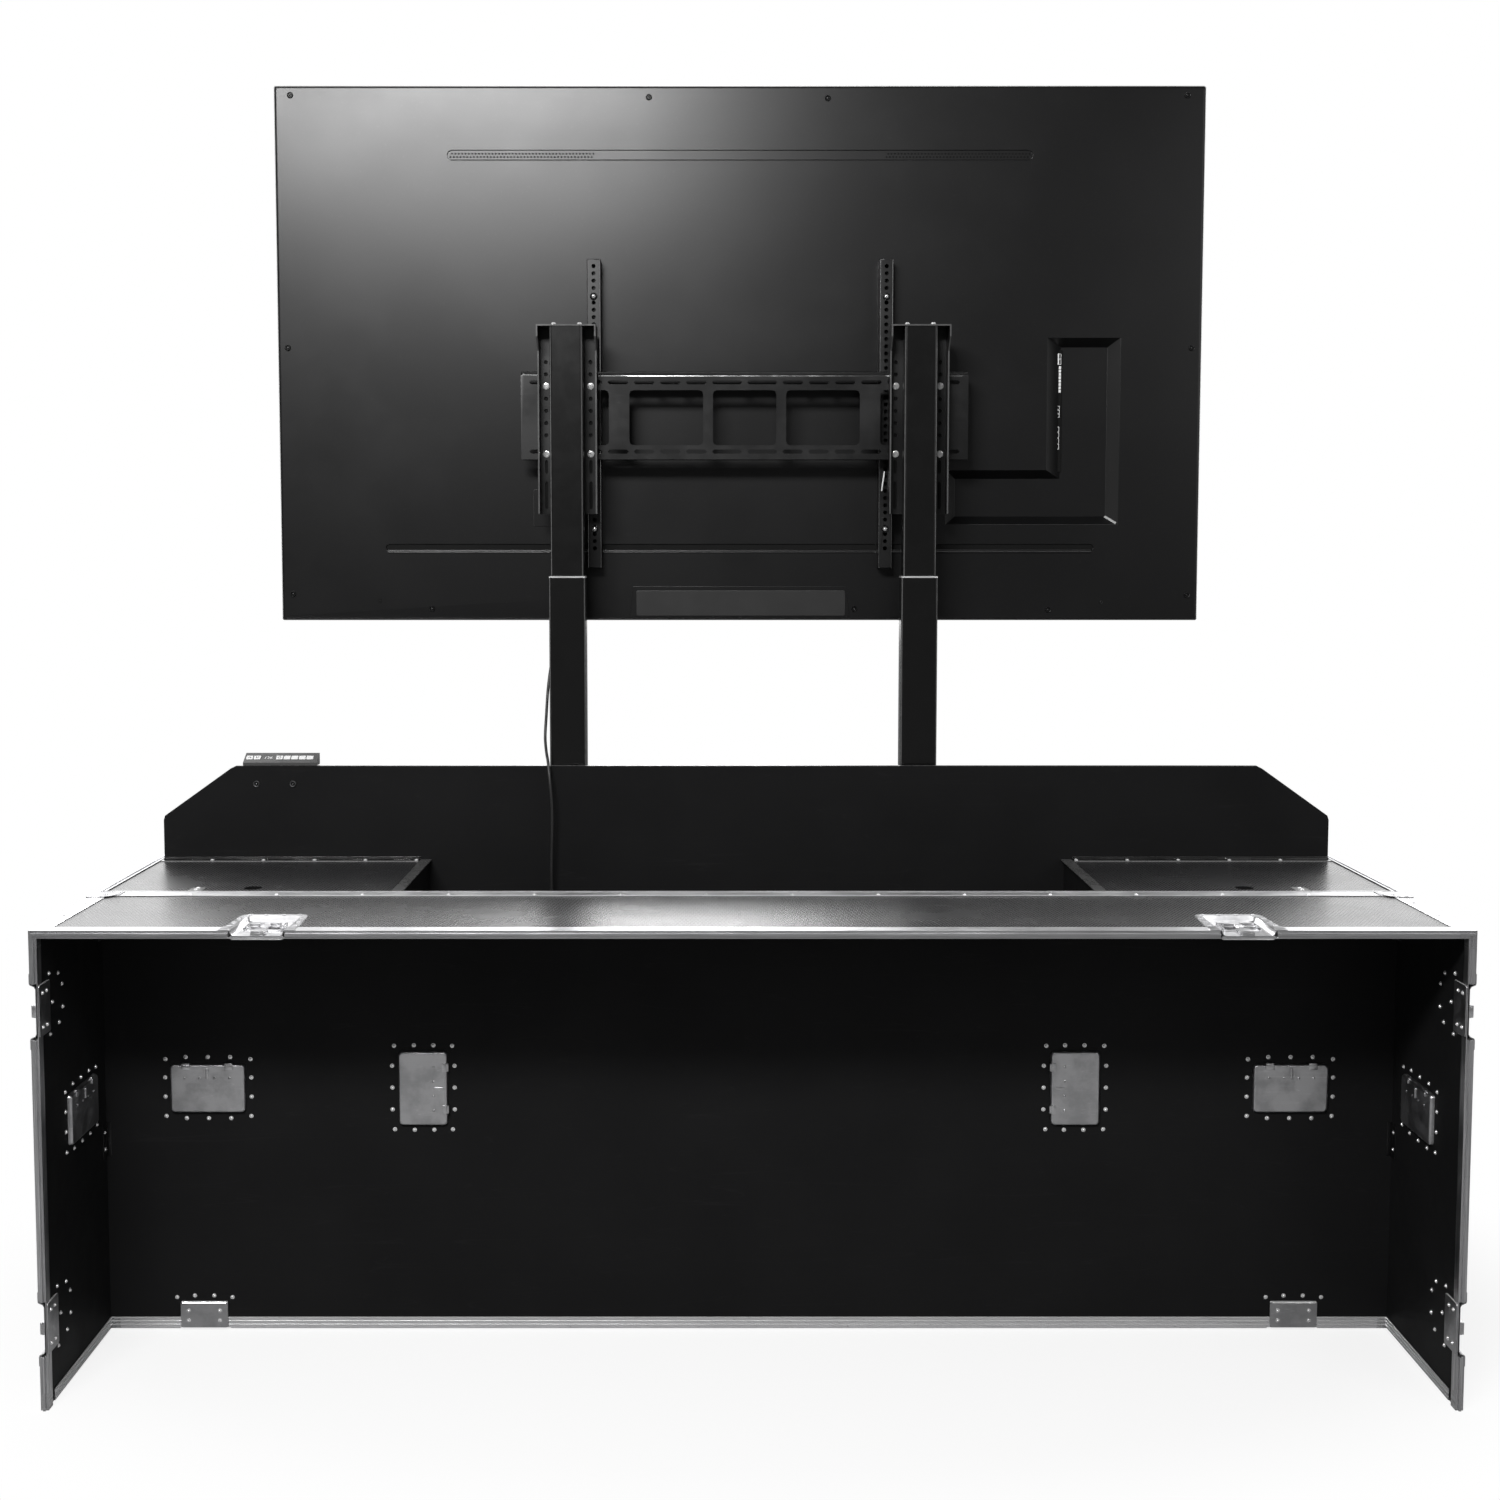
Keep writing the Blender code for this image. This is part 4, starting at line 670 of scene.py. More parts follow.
# The camera stands where the photograph's did
def place_camera():
    data = bpy.data.cameras.new("camera")
    data.sensor_width, data.lens, data.clip_end = 36, 44.4, 60
    data.shift_x, data.shift_y = 0.02133, -0.04653
    camera = bpy.data.objects.new("camera", data)
    camera.location = (-0.05747, -3.6031, 1.456)
    camera.rotation_euler = (math.pi / 2 - 0.07271, 0, 0)
    bpy.context.scene.collection.objects.link(camera)
    bpy.context.scene.camera = camera


# Frames on the case, as its makers would set them out
def frame_at(origin, x_axis, y_axis):
    x, y = Vector(x_axis), Vector(y_axis)
    return Matrix.Translation(origin) @ Matrix((x, y, x.cross(y))).transposed().to_4x4()


def handle_frames():
    height = CASE_TOP * 0.5585
    for side, word in SIDES:
        for place, inset, turn in (("outer", 0.202, 0), ("inner", 0.599, -side * math.pi / 2)):
            level = frame_at((side * (HALF_WIDTH - inset), COVER_REAR, height), (-1, 0, 0), UP)
            yield f"rear_handle_{word}_{place}", "back", level @ Matrix.Rotation(turn, 4, "Z")
        end = (side * HALF_WIDTH, COVER_FRONT + COVER_DEPTH * 0.585, height)
        yield f"end_handle_{word}", word, frame_at(end, (0, side, 0), UP)


def latch_frames():
    for side, word in SIDES:
        top = (side * (HALF_WIDTH - 0.378), COVER_FRONT, CASE_TOP)
        yield f"top_latch_knob_{word}", "top", frame_at(top, (1, 0, 0), BACK)
        rear = (side * (HALF_WIDTH - 0.187), COVER_REAR, COVER_FOOT)
        yield f"rear_latch_knob_{word}", "back", frame_at(rear, (-1, 0, 0), UP)
        for level, height in (("lower", COVER_FOOT + 0.137), ("upper", CASE_TOP - 0.137)):
            edge = (side * HALF_WIDTH, COVER_FRONT, height)
            yield f"{word}_latch_knob_{level}", word, frame_at(edge, (0, 0, -side), BACK)


HANDLES, LATCHES = list(handle_frames()), list(latch_frames())
BOARD = ["laminate", "inside_board", "ply_edge"]
LEG_IN = PANEL_IN - 2 * GAP - WALL
DISH_FLOOR, DISH_TOP = PANEL_IN - 0.008, PANEL_OUT + SHEET
PIVOT_Y, PIVOT_Z = 0.029, DISH_FLOOR + SHEET + 0.0050 + 4 * GAP
LATCH_WIDTH, LATCH_LENGTH = 0.122, 0.140
POCKET_HALF, POCKET_END, POCKET_FLOOR = 0.044, LATCH_LENGTH - 0.016, PANEL_IN + 0.002
KNOB_Y, BASE_TOP = 0.003 + (POCKET_END - 0.003) / 2, POCKET_FLOOR + 0.0015


def panel_cutters(panel):
    """The holes that a panel has for its dishes, in the row frame."""
    near, far = -0.004, POCKET_END + 0.0024
    pocket = rounded(POCKET_HALF + 0.0024, (far - near) / 2, 0.004, centre=(0, (near + far) / 2))
    holes = ((HANDLES, prism_shape(rounded(0.0696, 0.0456, 0.0076), PANEL_IN - 0.004, 0.004)),
             (LATCHES, prism_shape(pocket, POCKET_FLOOR - 0.0004, 0.004)))
    return [placed_shape(hole, place) for frames, hole in holes for _, where, place in frames if where == panel]


def cover_boards():
    """The cover's four boards: textured film outside, plain film inside, bare plies at the cuts."""
    for word in ("top", "back", "left", "right"):
        node, out = f"cover_{word}_panel", Vector(WAYS[word])
        low, high = (list(corner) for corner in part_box(node))
        axis = max(range(3), key=lambda i: abs(out[i]))
        outer = (HALF_WIDTH, COVER_REAR, CASE_TOP)[axis] - INSET
        low[axis], high[axis] = (outer - PLY, outer) if out[axis] > 0 else (-outer, -outer + PLY)
        if word != "top":
            low[2] = COVER_FOOT + 0.0043
        if word != "back":
            low[1] = COVER_FRONT + 0.0043
        if word in ("top", "back"):
            low[0], high[0] = -HALF_WIDTH + INSET, HALF_WIDTH - INSET

        def side_of(centre, normal):
            facing = normal.dot(out)
            return 0 if facing > 0.9 and centre.dot(out) > outer - 0.001 else (1 if facing < -0.9 else 2)
        board = built(f"{word}_board", [box_shape(low, high)], BOARD, "desk_cover", rule=side_of,
                      cuts=panel_cutters(word))
        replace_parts(board, node)


# Recessed dishes in the cover, each drawn in its own frame
def dish_mesh():
    """The pressed handle dish: flange, drawn wall with a soft brim, and the floor."""
    top, floor = DISH_TOP, DISH_FLOOR + SHEET
    above = ((0.0850, 0.0625, 0.0115, top - 0.0009), (0.0858, 0.0633, 0.0120, top - 0.0004),
             (0.0850, 0.0625, 0.0115, top), (0.0712, 0.0472, 0.0095, top), (0.0696, 0.0456, 0.0080, top - 0.0004),
             (0.0686, 0.0446, 0.0070, top - 0.0016), (0.0680, 0.0440, 0.0064, DISH_FLOOR + 0.0065),
             (0.0670, 0.0430, 0.0062, DISH_FLOOR + 0.0030), (0.0648, 0.0408, 0.0055, floor),
             (0.0640, 0.0400, 0.0052, floor), (0.0300, 0.0200, 0.0020, floor))
    below = ((0.0320, 0.0210, 0.0020, DISH_FLOOR), (0.0646, 0.0406, 0.0058, DISH_FLOOR),
             (0.0654, 0.0414, 0.0060, DISH_FLOOR), (0.0667, 0.0427, 0.0065, DISH_FLOOR + 0.0004),
             (0.0678, 0.0438, 0.0070, DISH_FLOOR + 0.0014), (0.0690, 0.0450, 0.0075, DISH_FLOOR + 0.0042),
             (0.0692, 0.0452, 0.0076, PANEL_OUT - 0.002), (0.0720, 0.0480, 0.0090, PANEL_OUT),
             (0.0850, 0.0625, 0.0115, PANEL_OUT))
    upper, lower = ([ring_of(rounded(a, b, r, 5), z) for a, b, r, z in part] for part in (above, below))
    points, faces = joined(loft_shape(upper, closed_start=False), loft_shape(lower, closed_end=False))
    count = len(upper[0])
    return points, faces + band(count, 0, len(points) - count)


def dish_fittings():
    """Ears, spring tabs and the stop strap that show on both sides of a handle dish."""
    ear = rounded(0.0058, 0.0052, 0.0022, 3, centre=(PIVOT_Y, DISH_FLOOR + SHEET + 0.0050))
    strap = rounded(0.0026, 0.0095, 0.0024, 3, centre=(0.0, 0.0285))
    shapes = []
    for side in (-1, 1):
        tab = rounded(0.0082, 0.0042, 0.0016, 3, centre=(side * 0.0395, 0.0398))
        lug = rounded(0.0074, 0.0022, 0.0010, 3, centre=(side * 0.0395, 0.0452))
        shapes += [turned(prism_shape(ear, *sorted((side * 0.0495, side * 0.0553))), (2, 0, 1)),
                   prism_shape(tab, DISH_FLOOR - 0.0020, DISH_FLOOR + 0.0002),
                   prism_shape(lug, DISH_FLOOR - 0.0004, DISH_FLOOR + 0.0045)]
    return joined(*shapes, prism_shape(strap, DISH_FLOOR - 0.0018, DISH_FLOOR + 0.0002))


def latch_pan():
    """The pressed latch dish: open at its front, lapped over the extrusion and let into the board."""
    floor, half, low = POCKET_FLOOR, POCKET_HALF, 0.0009
    start, step = 0.0006, LEG + 2 * GAP

    def outline(side, back, corner, spread=0.0):
        """Half an outline from the front round to the back, then its mirror image."""
        points = [(side + spread, start), (side + spread / 2, step), (side + spread / 2, step + 0.003),
                  (side - spread, back - corner), (side - spread - corner * 0.30, back - corner * 0.30),
                  (side - spread - corner, back)]
        return points + [(-a, b) for a, b in reversed(points)]

    def lapped(points, over, beyond):
        """The outline at one height over the extrusion and another over the board."""
        return [(a, b, over if b <= step else beyond) for a, b in points]

    rim = outline(LATCH_WIDTH / 2, LATCH_LENGTH, 0.014, 0.003)
    foot = outline(half - 0.0060, POCKET_END - 0.0080, 0.007)
    upper = [lapped(rim, SHEET - low, DISH_TOP - low), lapped(rim, SHEET, DISH_TOP),
             lapped(outline(half + 0.0040, POCKET_END + 0.0030, 0.010), SHEET, DISH_TOP),
             lapped(outline(half + 0.0010, POCKET_END + 0.0005, 0.009), SHEET - 0.0010, DISH_TOP - 0.0010),
             ring_of(outline(half - 0.0022, POCKET_END - 0.0035, 0.008), floor + 0.0030),
             ring_of(foot, floor + 0.0006)]
    under = [ring_of(foot, floor - 0.0002),
             ring_of(outline(half - 0.0012, POCKET_END - 0.0025, 0.008), floor + 0.0020),
             lapped(outline(half + 0.0019, POCKET_END + 0.0014, 0.009), GAP - 0.0012, PANEL_OUT - 0.0022),
             lapped(outline(half + 0.0046, POCKET_END + 0.0036, 0.010), GAP, PANEL_OUT),
             lapped(rim, GAP, PANEL_OUT)]
    rings, inner, n, faces = upper + under, len(upper), len(rim), []
    for i in range(len(rings)):
        if i != inner - 1:
            a, b = i * n, (i + 1) % len(rings) * n
            faces += [(a + j, a + j + 1, b + j + 1, b + j) for j in range(n - 1)]
    faces += [tuple(range((inner - 1) * n, inner * n)), tuple(range(inner * n, (inner + 1) * n))[::-1]]
    starts = [i * n for i in range(len(rings))]
    down, back = starts[:inner], starts[inner:]
    faces.append((*down, *(i + n - 1 for i in reversed(down)), *(i + n - 1 for i in reversed(back)), *back))
    return [point for ring in rings for point in ring], faces


def latch_base(apron):
    """The latch's base with its turned-up cheeks, the claw that reaches over the edge, and the lip below."""
    shapes = [prism_shape(rounded(0.0330, 0.0280, 0.005, centre=(0, KNOB_Y)), POCKET_FLOOR + 0.0004, BASE_TOP)]
    for side in (-1, 1):
        cheek = rounded(0.0011, 0.0230, 0.0008, 2, centre=(side * 0.0316, KNOB_Y))
        ledge = rounded(0.0110, 0.0012, 0.0008, 2, centre=(side * 0.0190, KNOB_Y + 0.0262))
        shapes += [prism_shape(cheek, BASE_TOP - 0.0004, BASE_TOP + 0.0046),
                   prism_shape(ledge, BASE_TOP - 0.0004, BASE_TOP + 0.0030)]
    claw = [(0.0110, 0.0035), (0.0120, 0.0120), (0.0105, 0.0400), (-0.0105, 0.0400), (-0.0120, 0.0120),
            (-0.0110, 0.0035), (-0.0040, 0.0020), (0.0040, 0.0020)]
    shapes.append(prism_shape(claw, POCKET_FLOOR + 0.0006, POCKET_FLOOR + 0.0056))
    if apron:
        lip = rounded(POCKET_HALF + 0.0010, 0.0026, 0.0024, 3, centre=(0.0, PANEL_IN))
        shapes.append(turned(prism_shape(lip, 0.0006, 0.0018), (0, 2, 1)))
    bar = rounded(0.0105, 0.0016, 0.0012, 2, centre=(0.0, 0.0046))
    return joined(*shapes, prism_shape(bar, POCKET_FLOOR + 0.0050, POCKET_FLOOR + 0.0086))


# Where the rivets stand in the frames of the dishes
RING_RIVETS = [(sa * 0.0785, sb * 0.0535) for sa in (-1, 1) for sb in (-1, 1)]
RING_RIVETS += [(a, sb * 0.0575) for a in (-0.0410, 0.0, 0.0410) for sb in (-1, 1)]
RING_RIVETS += [(sa * 0.0795, b) for sa in (-1, 1) for b in (-0.0170, 0.0190)]
ROW_RIVETS = [(-0.0410 + i * 0.0273, 0.0200) for i in range(4)]
PAN_RIVETS = [(a, 0.1320) for a in (-0.0430, -0.0150, 0.0150, 0.0430)]
PAN_RIVETS += [(s * a, b) for s in (-1, 1) for a, b in ((0.0555, 0.0400), (0.0548, 0.0700), (0.0535, 0.1020))]
BASE_RIVETS = [(s * 0.0270, KNOB_Y + b) for s in (-1, 1) for b in (-0.0215, 0.0215)]
PLATE_RIVETS = [(s * 0.0290, b) for s in (-1, 1) for b in (0.0140, 0.0330)]
REAR_TAILS = [(-0.0520, 0.0570), (-0.0180, 0.0600), (0.0180, 0.0600), (0.0510, 0.0570)]
SIDE_TAILS = [(-0.0520, 0.0570), (0.0520, 0.0570), (0.0, 0.0700), (-0.0430, 0.1000), (0.0430, 0.1000),
              (-0.0200, 0.1180), (0.0200, 0.1180)]


def on_frame(place, spots, height, way=1):
    normal = place.to_3x3() @ Vector((0, 0, way))
    return [(place @ Vector((a, b, height)), normal) for a, b in spots]


def dishes():
    """Handle and latch dishes with their plates, one piece for each kind on the cover."""
    pans, fittings, latch_pans, latch_bases, plates, lips, beads = ([] for _ in range(7))
    outer, small, tails = [], [], []
    for _, _, place in HANDLES:
        pans.append(placed_shape(dish_mesh(), place))
        fittings.append(placed_shape(dish_fittings(), place))
        outer += on_frame(place, RING_RIVETS, DISH_TOP)
        tails += on_frame(place, RING_RIVETS, PANEL_IN, -1)
        small += on_frame(place, ROW_RIVETS, DISH_FLOOR, -1) + on_frame(place, ROW_RIVETS, DISH_FLOOR + SHEET)
    backing = prism_shape(rounded(0.044, 0.0253, 0.0045, 4, centre=(0, 0.0256)), LEG_IN - 0.002, LEG_IN)
    spacer = prism_shape(rounded(0.0435, 0.0147, 0.002, 2, centre=(0, 0.0355)), LEG_IN - 0.001, PANEL_IN)
    for name, _, place in LATCHES:
        latch_pans.append(placed_shape(latch_pan(), place))
        latch_bases.append(placed_shape(latch_base(name.startswith(("top", "rear"))), place))
        outer += on_frame(place, PAN_RIVETS, DISH_TOP)
        small += on_frame(place, BASE_RIVETS, BASE_TOP)
        plates += [placed_shape(shape, place) for shape in (backing, spacer)]
        tails += on_frame(place, REAR_TAILS if name.startswith("rear") else SIDE_TAILS, PANEL_IN, -1)
        tails += on_frame(place, PLATE_RIVETS, LEG_IN - 0.002, -1)
        # On the rear latches a bright strip along the plate's top stands for its bent lip's reflection, a painted
        # highlight.
        if name.startswith("rear"):
            start, end = (place @ Vector((a, 0.0490, LEG_IN - 0.0021)) for a in (-0.0405, 0.0405))
            lips.append(facet(start, end, (0, -0.8, 0.6), 0.0040))
    x, y, near = HALF_WIDTH + LEG_IN + GAP, COVER_REAR + LEG_IN + GAP, COVER_FRONT + LEG
    # Three bright beads along the inside of the foot rim stand for its grooves, with painted highlight lines along
    # them.
    for height, radius in ((0.0192, 0.0012), (0.0124, 0.0009), (0.0056, 0.0009)):
        path = [(*place, COVER_FOOT + height) for place in ((-x, near), (-x, y), (x, y), (x, near))]
        beads += [swept(ends, [radius] * 2, 8) for ends in zip(path, path[1:])]
    for name, shapes, finish, edge in (
            ("handle_dishes", pans, "zinc_steel", ()), ("dish_fittings", fittings, "bright_zinc", (0.0007,)),
            ("latch_dishes", latch_pans, "bright_zinc", ()), ("latch_bases", latch_bases, "bright_zinc", (0.0005,))):
        built(name, shapes, [finish], "desk_cover", edge)
    # The plates' upward faces are painted bright as a painted highlight along their top edges.
    built("latch_plates", plates, ["zinc_steel", "bright_rivet_and_highlight"], "desk_cover", (0.0009,),
          lambda centre, normal: int(normal.z > 0.2))
    built("foot_rim_beads", beads, ["bright_rivet_and_highlight"], "desk_cover")
    built("latch_plate_lips", lips, ["bright_rivet_and_highlight"], "desk_cover")
    set_out("dish_rivets", outer, head("rivet", 0.0042, 0.0020), "zinc_steel", "desk_cover")
    set_out("dish_small_rivets", small, head("rivet", 0.0024, 0.0012), "zinc_steel", "desk_cover")
    set_out("dish_rivet_tails", tails, head("tail", 0.0040, 0.0030), "bright_rivet_and_highlight", "desk_cover")


def knobs():
    """The butterflies: a cam disc under two folded wings with finger hollows."""
    shapes = [lathe([(0.0040, 0.0052), (0.0060, 0.0050), (0.0068, 0.0040), (0.0092, 0.0026), (0.0100, 0.0020),
                     (0.0100, 0.0)], 24)]
    half = [(0.0062, 0.0045), (0.0115, 0.0062), (0.0190, 0.0088), (0.0255, 0.0080), (0.0280, 0.0048)]
    wing = half + [(a, -b) for a, b in reversed(half)]
    for side in (-1, 1):
        rib = rounded(0.0095, 0.0013, 0.0010, 2, centre=(side * 0.0175, side * 0.0022))
        shapes += [prism_shape([(side * a, side * b) for a, b in wing], 0.0022, 0.0038),
                   prism_shape(rib, 0.0034, 0.0074)]
    for name, _, place in LATCHES:
        butterfly = placed_shape(joined(*shapes), place @ Matrix.Translation((0, KNOB_Y, BASE_TOP + GAP)))
        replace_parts(built(f"{name}_wings", [butterfly], ["bright_zinc"], name, (0.0005,)), name)


# Edgings, castings and their rivets
def angle_run(path, inward, across):
    """An angle extrusion along a path, mitred at its corners, with a soft outer edge."""
    r = 0.0006
    profile = [(r, 0), (LEG - r, 0), (LEG, r), (LEG, WALL), (WALL, WALL), (WALL, LEG), (r, LEG), (0, LEG - r),
               (0, r)]
    return loft_shape([[Vector(p) + Vector(side) * u + Vector(across) * v for u, v in profile]
                       for p, side in zip(path, inward)])


# A corner casting's plate and its rivets, in millimetres
CASTING = [(0, 0), (52, 0), (52, 22), (50, 27.5), (45, 30), (41.5, 31.8), (39.8, 35.5), (37.5, 37.5),
           (35.5, 39.8), (31.8, 41.5), (30, 45), (27.5, 50), (22, 52), (0, 52)]
CASTING_HOLES = [(44, 8), (44, 22), (8, 44), (22, 44), (26, 26)]


def casting(corner, towards, proud):
    """A scalloped corner: three plates that meet on the corner, with its rivets' places."""
    points, faces = prism_shape([(u * MM, v * MM) for u, v in CASTING], 0.0, 1.0)
    shapes, rivets = [], []
    for axis in range(3):
        a, b = (axis + 1) % 3, (axis + 2) % 3

        def moved(u, v, height):
            p = Vector(corner)
            p[a] += towards[a] * u
            p[b] += towards[b] * v
            p[axis] -= towards[axis] * height
            return p

        if proud[axis]:
            shapes.append(([moved(u or -proud[a], v or -proud[b], proud[axis] if t else -0.0004)
                            for u, v, t in points], faces))
            way = Vector((0, 0, 0))
            way[axis] = -towards[axis]
            rivets += [(moved(u * MM, v * MM, proud[axis]), way) for u, v in CASTING_HOLES]
    return shapes, rivets


def rivet_line(start, end, way, margin=0.075, pitch=0.157):
    """Rivets at a pitch between two ends, kept centred and clear of the ends."""
    run = Vector(end) - Vector(start)
    length, along = run.length - 2 * margin, run.normalized()
    count = max(int(length / pitch), 1)
    first = Vector(start) + along * (margin + (length - count * pitch) / 2)
    return [(first + along * (i * pitch), Vector(way)) for i in range(count + 1)]


def cover_edging():
    low, start = COVER_FOOT + LEG + GAP, COVER_FRONT + LEG + GAP
    back, level = COVER_REAR - LEG / 2, CASE_TOP - LEG / 2
    shapes, castings, rivets = [], [], []
    for side, _ in SIDES:
        x, middle, out = side * HALF_WIDTH, side * (HALF_WIDTH - LEG / 2), (side, 0, 0)
        path = [(x, COVER_REAR, low), (x, COVER_REAR, CASE_TOP), (x, start, CASE_TOP)]
        shapes.append(angle_run(path, [(0, -1, 0), (0, -1, -1), (0, 0, -1)], (-side, 0, 0)))
        plates, more = casting((x, COVER_REAR, CASE_TOP), (-side, -1, -1), (SHEET,) * 3)
        castings += plates
        rivets += more
        rivets += rivet_line((middle, start, CASE_TOP), (middle, COVER_REAR, CASE_TOP), UP, 0.09, 0.11)
        rivets += rivet_line((x, start, level), (x, COVER_REAR, level), out, 0.09, 0.11)
        rivets += rivet_line((middle, COVER_REAR, low), (middle, COVER_REAR, CASE_TOP), BACK)
        rivets += rivet_line((x, back, low), (x, back, CASE_TOP), out)
    end, line = HALF_WIDTH - LEG / 2, COVER_REAR - 0.020
    path = [(-end, COVER_REAR, CASE_TOP), (end, COVER_REAR, CASE_TOP)]
    shapes.append(angle_run(path, [(0, -1, 0)] * 2, (0, 0, -1)))
    rivets += rivet_line((-HALF_WIDTH, line, CASE_TOP), (HALF_WIDTH, line, CASE_TOP), UP, 0.12)
    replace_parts(built("cover_edge_angles", shapes, ["aluminium"], "desk_cover"), "cover_edging")
    built("cover_corner_castings", castings, ["zinc_steel"], "desk_cover", (0.0004, 1))
    set_out("cover_edge_rivets", rivets, head("rivet", 0.0040, 0.0018), "aluminium", "desk_cover")


def base_edging():
    shapes, castings, rivets = [], [], []
    path = [(-HALF_WIDTH, BASE_FRONT, GAP), (HALF_WIDTH, BASE_FRONT, GAP), (HALF_WIDTH, BASE_REAR, GAP),
            (-HALF_WIDTH, BASE_REAR, GAP)]
    inward = [(1, 1, 0), (-1, 1, 0), (-1, -1, 0), (1, -1, 0)]
    for i in range(4):
        j = (i + 1) % 4
        shapes.append(angle_run([path[i], path[j]], [inward[i], inward[j]], UP))
    low, high, levels = LEG / 2, CASE_TOP - LEG - GAP, (LEG / 2, CASE_TOP - LEG / 2)
    for side, _ in SIDES:
        x, middle, out = side * HALF_WIDTH, side * (HALF_WIDTH - LEG / 2), (side, 0, 0)
        for way, y in ((-1, BASE_FRONT), (1, BASE_REAR)):
            shapes.append(angle_run([(x, y, low), (x, y, high)], [(-side, 0, 0)] * 2, (0, -way, 0)))
            plates, more = casting((x, y, GAP), (-side, -way, 1), (SHEET, SHEET, 0.0))
            castings += plates
            rivets += more
            rivets += rivet_line((middle, y, low), (middle, y, high), (0, way, 0), 0.11)
            inset = y - way * LEG / 2
            rivets += rivet_line((x, inset, low), (x, inset, high), out, 0.11)
        for z in levels:
            rivets += rivet_line((x, BASE_FRONT, z), (x, BASE_REAR, z), out, 0.10)
    for z in levels:
        for y, way in ((BASE_REAR, BACK), (BASE_FRONT, OUT)):
            rivets += rivet_line((-HALF_WIDTH, y, z), (HALF_WIDTH, y, z), way, 0.10)
    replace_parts(built("base_edge_angles", shapes, ["aluminium"], "base"), "base_edging")
    built("base_corner_castings", castings, ["zinc_steel"], "base", (0.0004, 1))
    set_out("base_edge_rivets", rivets, head("rivet", 0.0040, 0.0012), "aluminium", "base")


# CAD nodes that keep their shape, with their hard edges broken
def dress_case():
    # The front rim's faces turned to the front take a darker copy of the extrusion finish, as painted shade.
    dressed("cover_front_rim", ["aluminium", "rim_front_shade"], "desk_cover",
            lambda centre, normal: int(normal.y < -0.3), 0.0003)
    # The foot rim takes a paler copy of the extrusion finish, painted light where it reflects the bright floor.
    dressed("cover_bottom_rim", ["foot_rim_lit"], "desk_cover", width=0.0003)
    dressed("base_top_rim", ["aluminium"], "base", width=0.0003)
    for word in ("front", "rear", "left", "right", "floor"):
        def board_side(centre, normal):
            facing = normal.dot(Vector(WAYS[word]))
            return 0 if facing > 0.9 else (1 if facing < -0.9 else 2)
        dressed(f"base_{word}_panel", BOARD, "base", board_side)
    # The divider's top faces are painted the edge grey: partly its edge's own grey, partly a painted highlight along
    # it.
    dressed("divider_board", ["inside_board", "edge_grey_and_highlight"], "base", lambda centre, normal: int(normal.z > 0.5),
            0.0012, 2)
    for _, word in SIDES:
        dressed(f"partition_{word}", ["inside_board", "edge_grey_and_highlight"], "base",
                lambda centre, normal: int(centre.z > DECK_TOP - 0.0021))
        (_, front, _), (_, rear, _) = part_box(f"flap_{word}")
        leaf = rear - 0.0225

        def flap_rule(centre, normal):
            above = centre.z > DECK_TOP + 0.0002
            if above and (centre.y < front + 0.060 or centre.y < leaf + 0.002):
                return 3
            if above or (centre.y > leaf and abs(normal.z) < 0.7 and centre.z > DECK_TOP - 0.0002):
                return 1
            return 0 if normal.z > 0.9 else 2
        dressed(f"flap_{word}", ["laminate", "hinge_steel_and_highlight", "inside_board", "worn_edge"], f"flap_{word}",
                flap_rule, 0.0003)
        dressed(f"hinge_{word}", ["hinge_steel_and_highlight"], "base", width=0.0002)
    dressed("control_box", ["black_steel"], "base", width=0.0006)


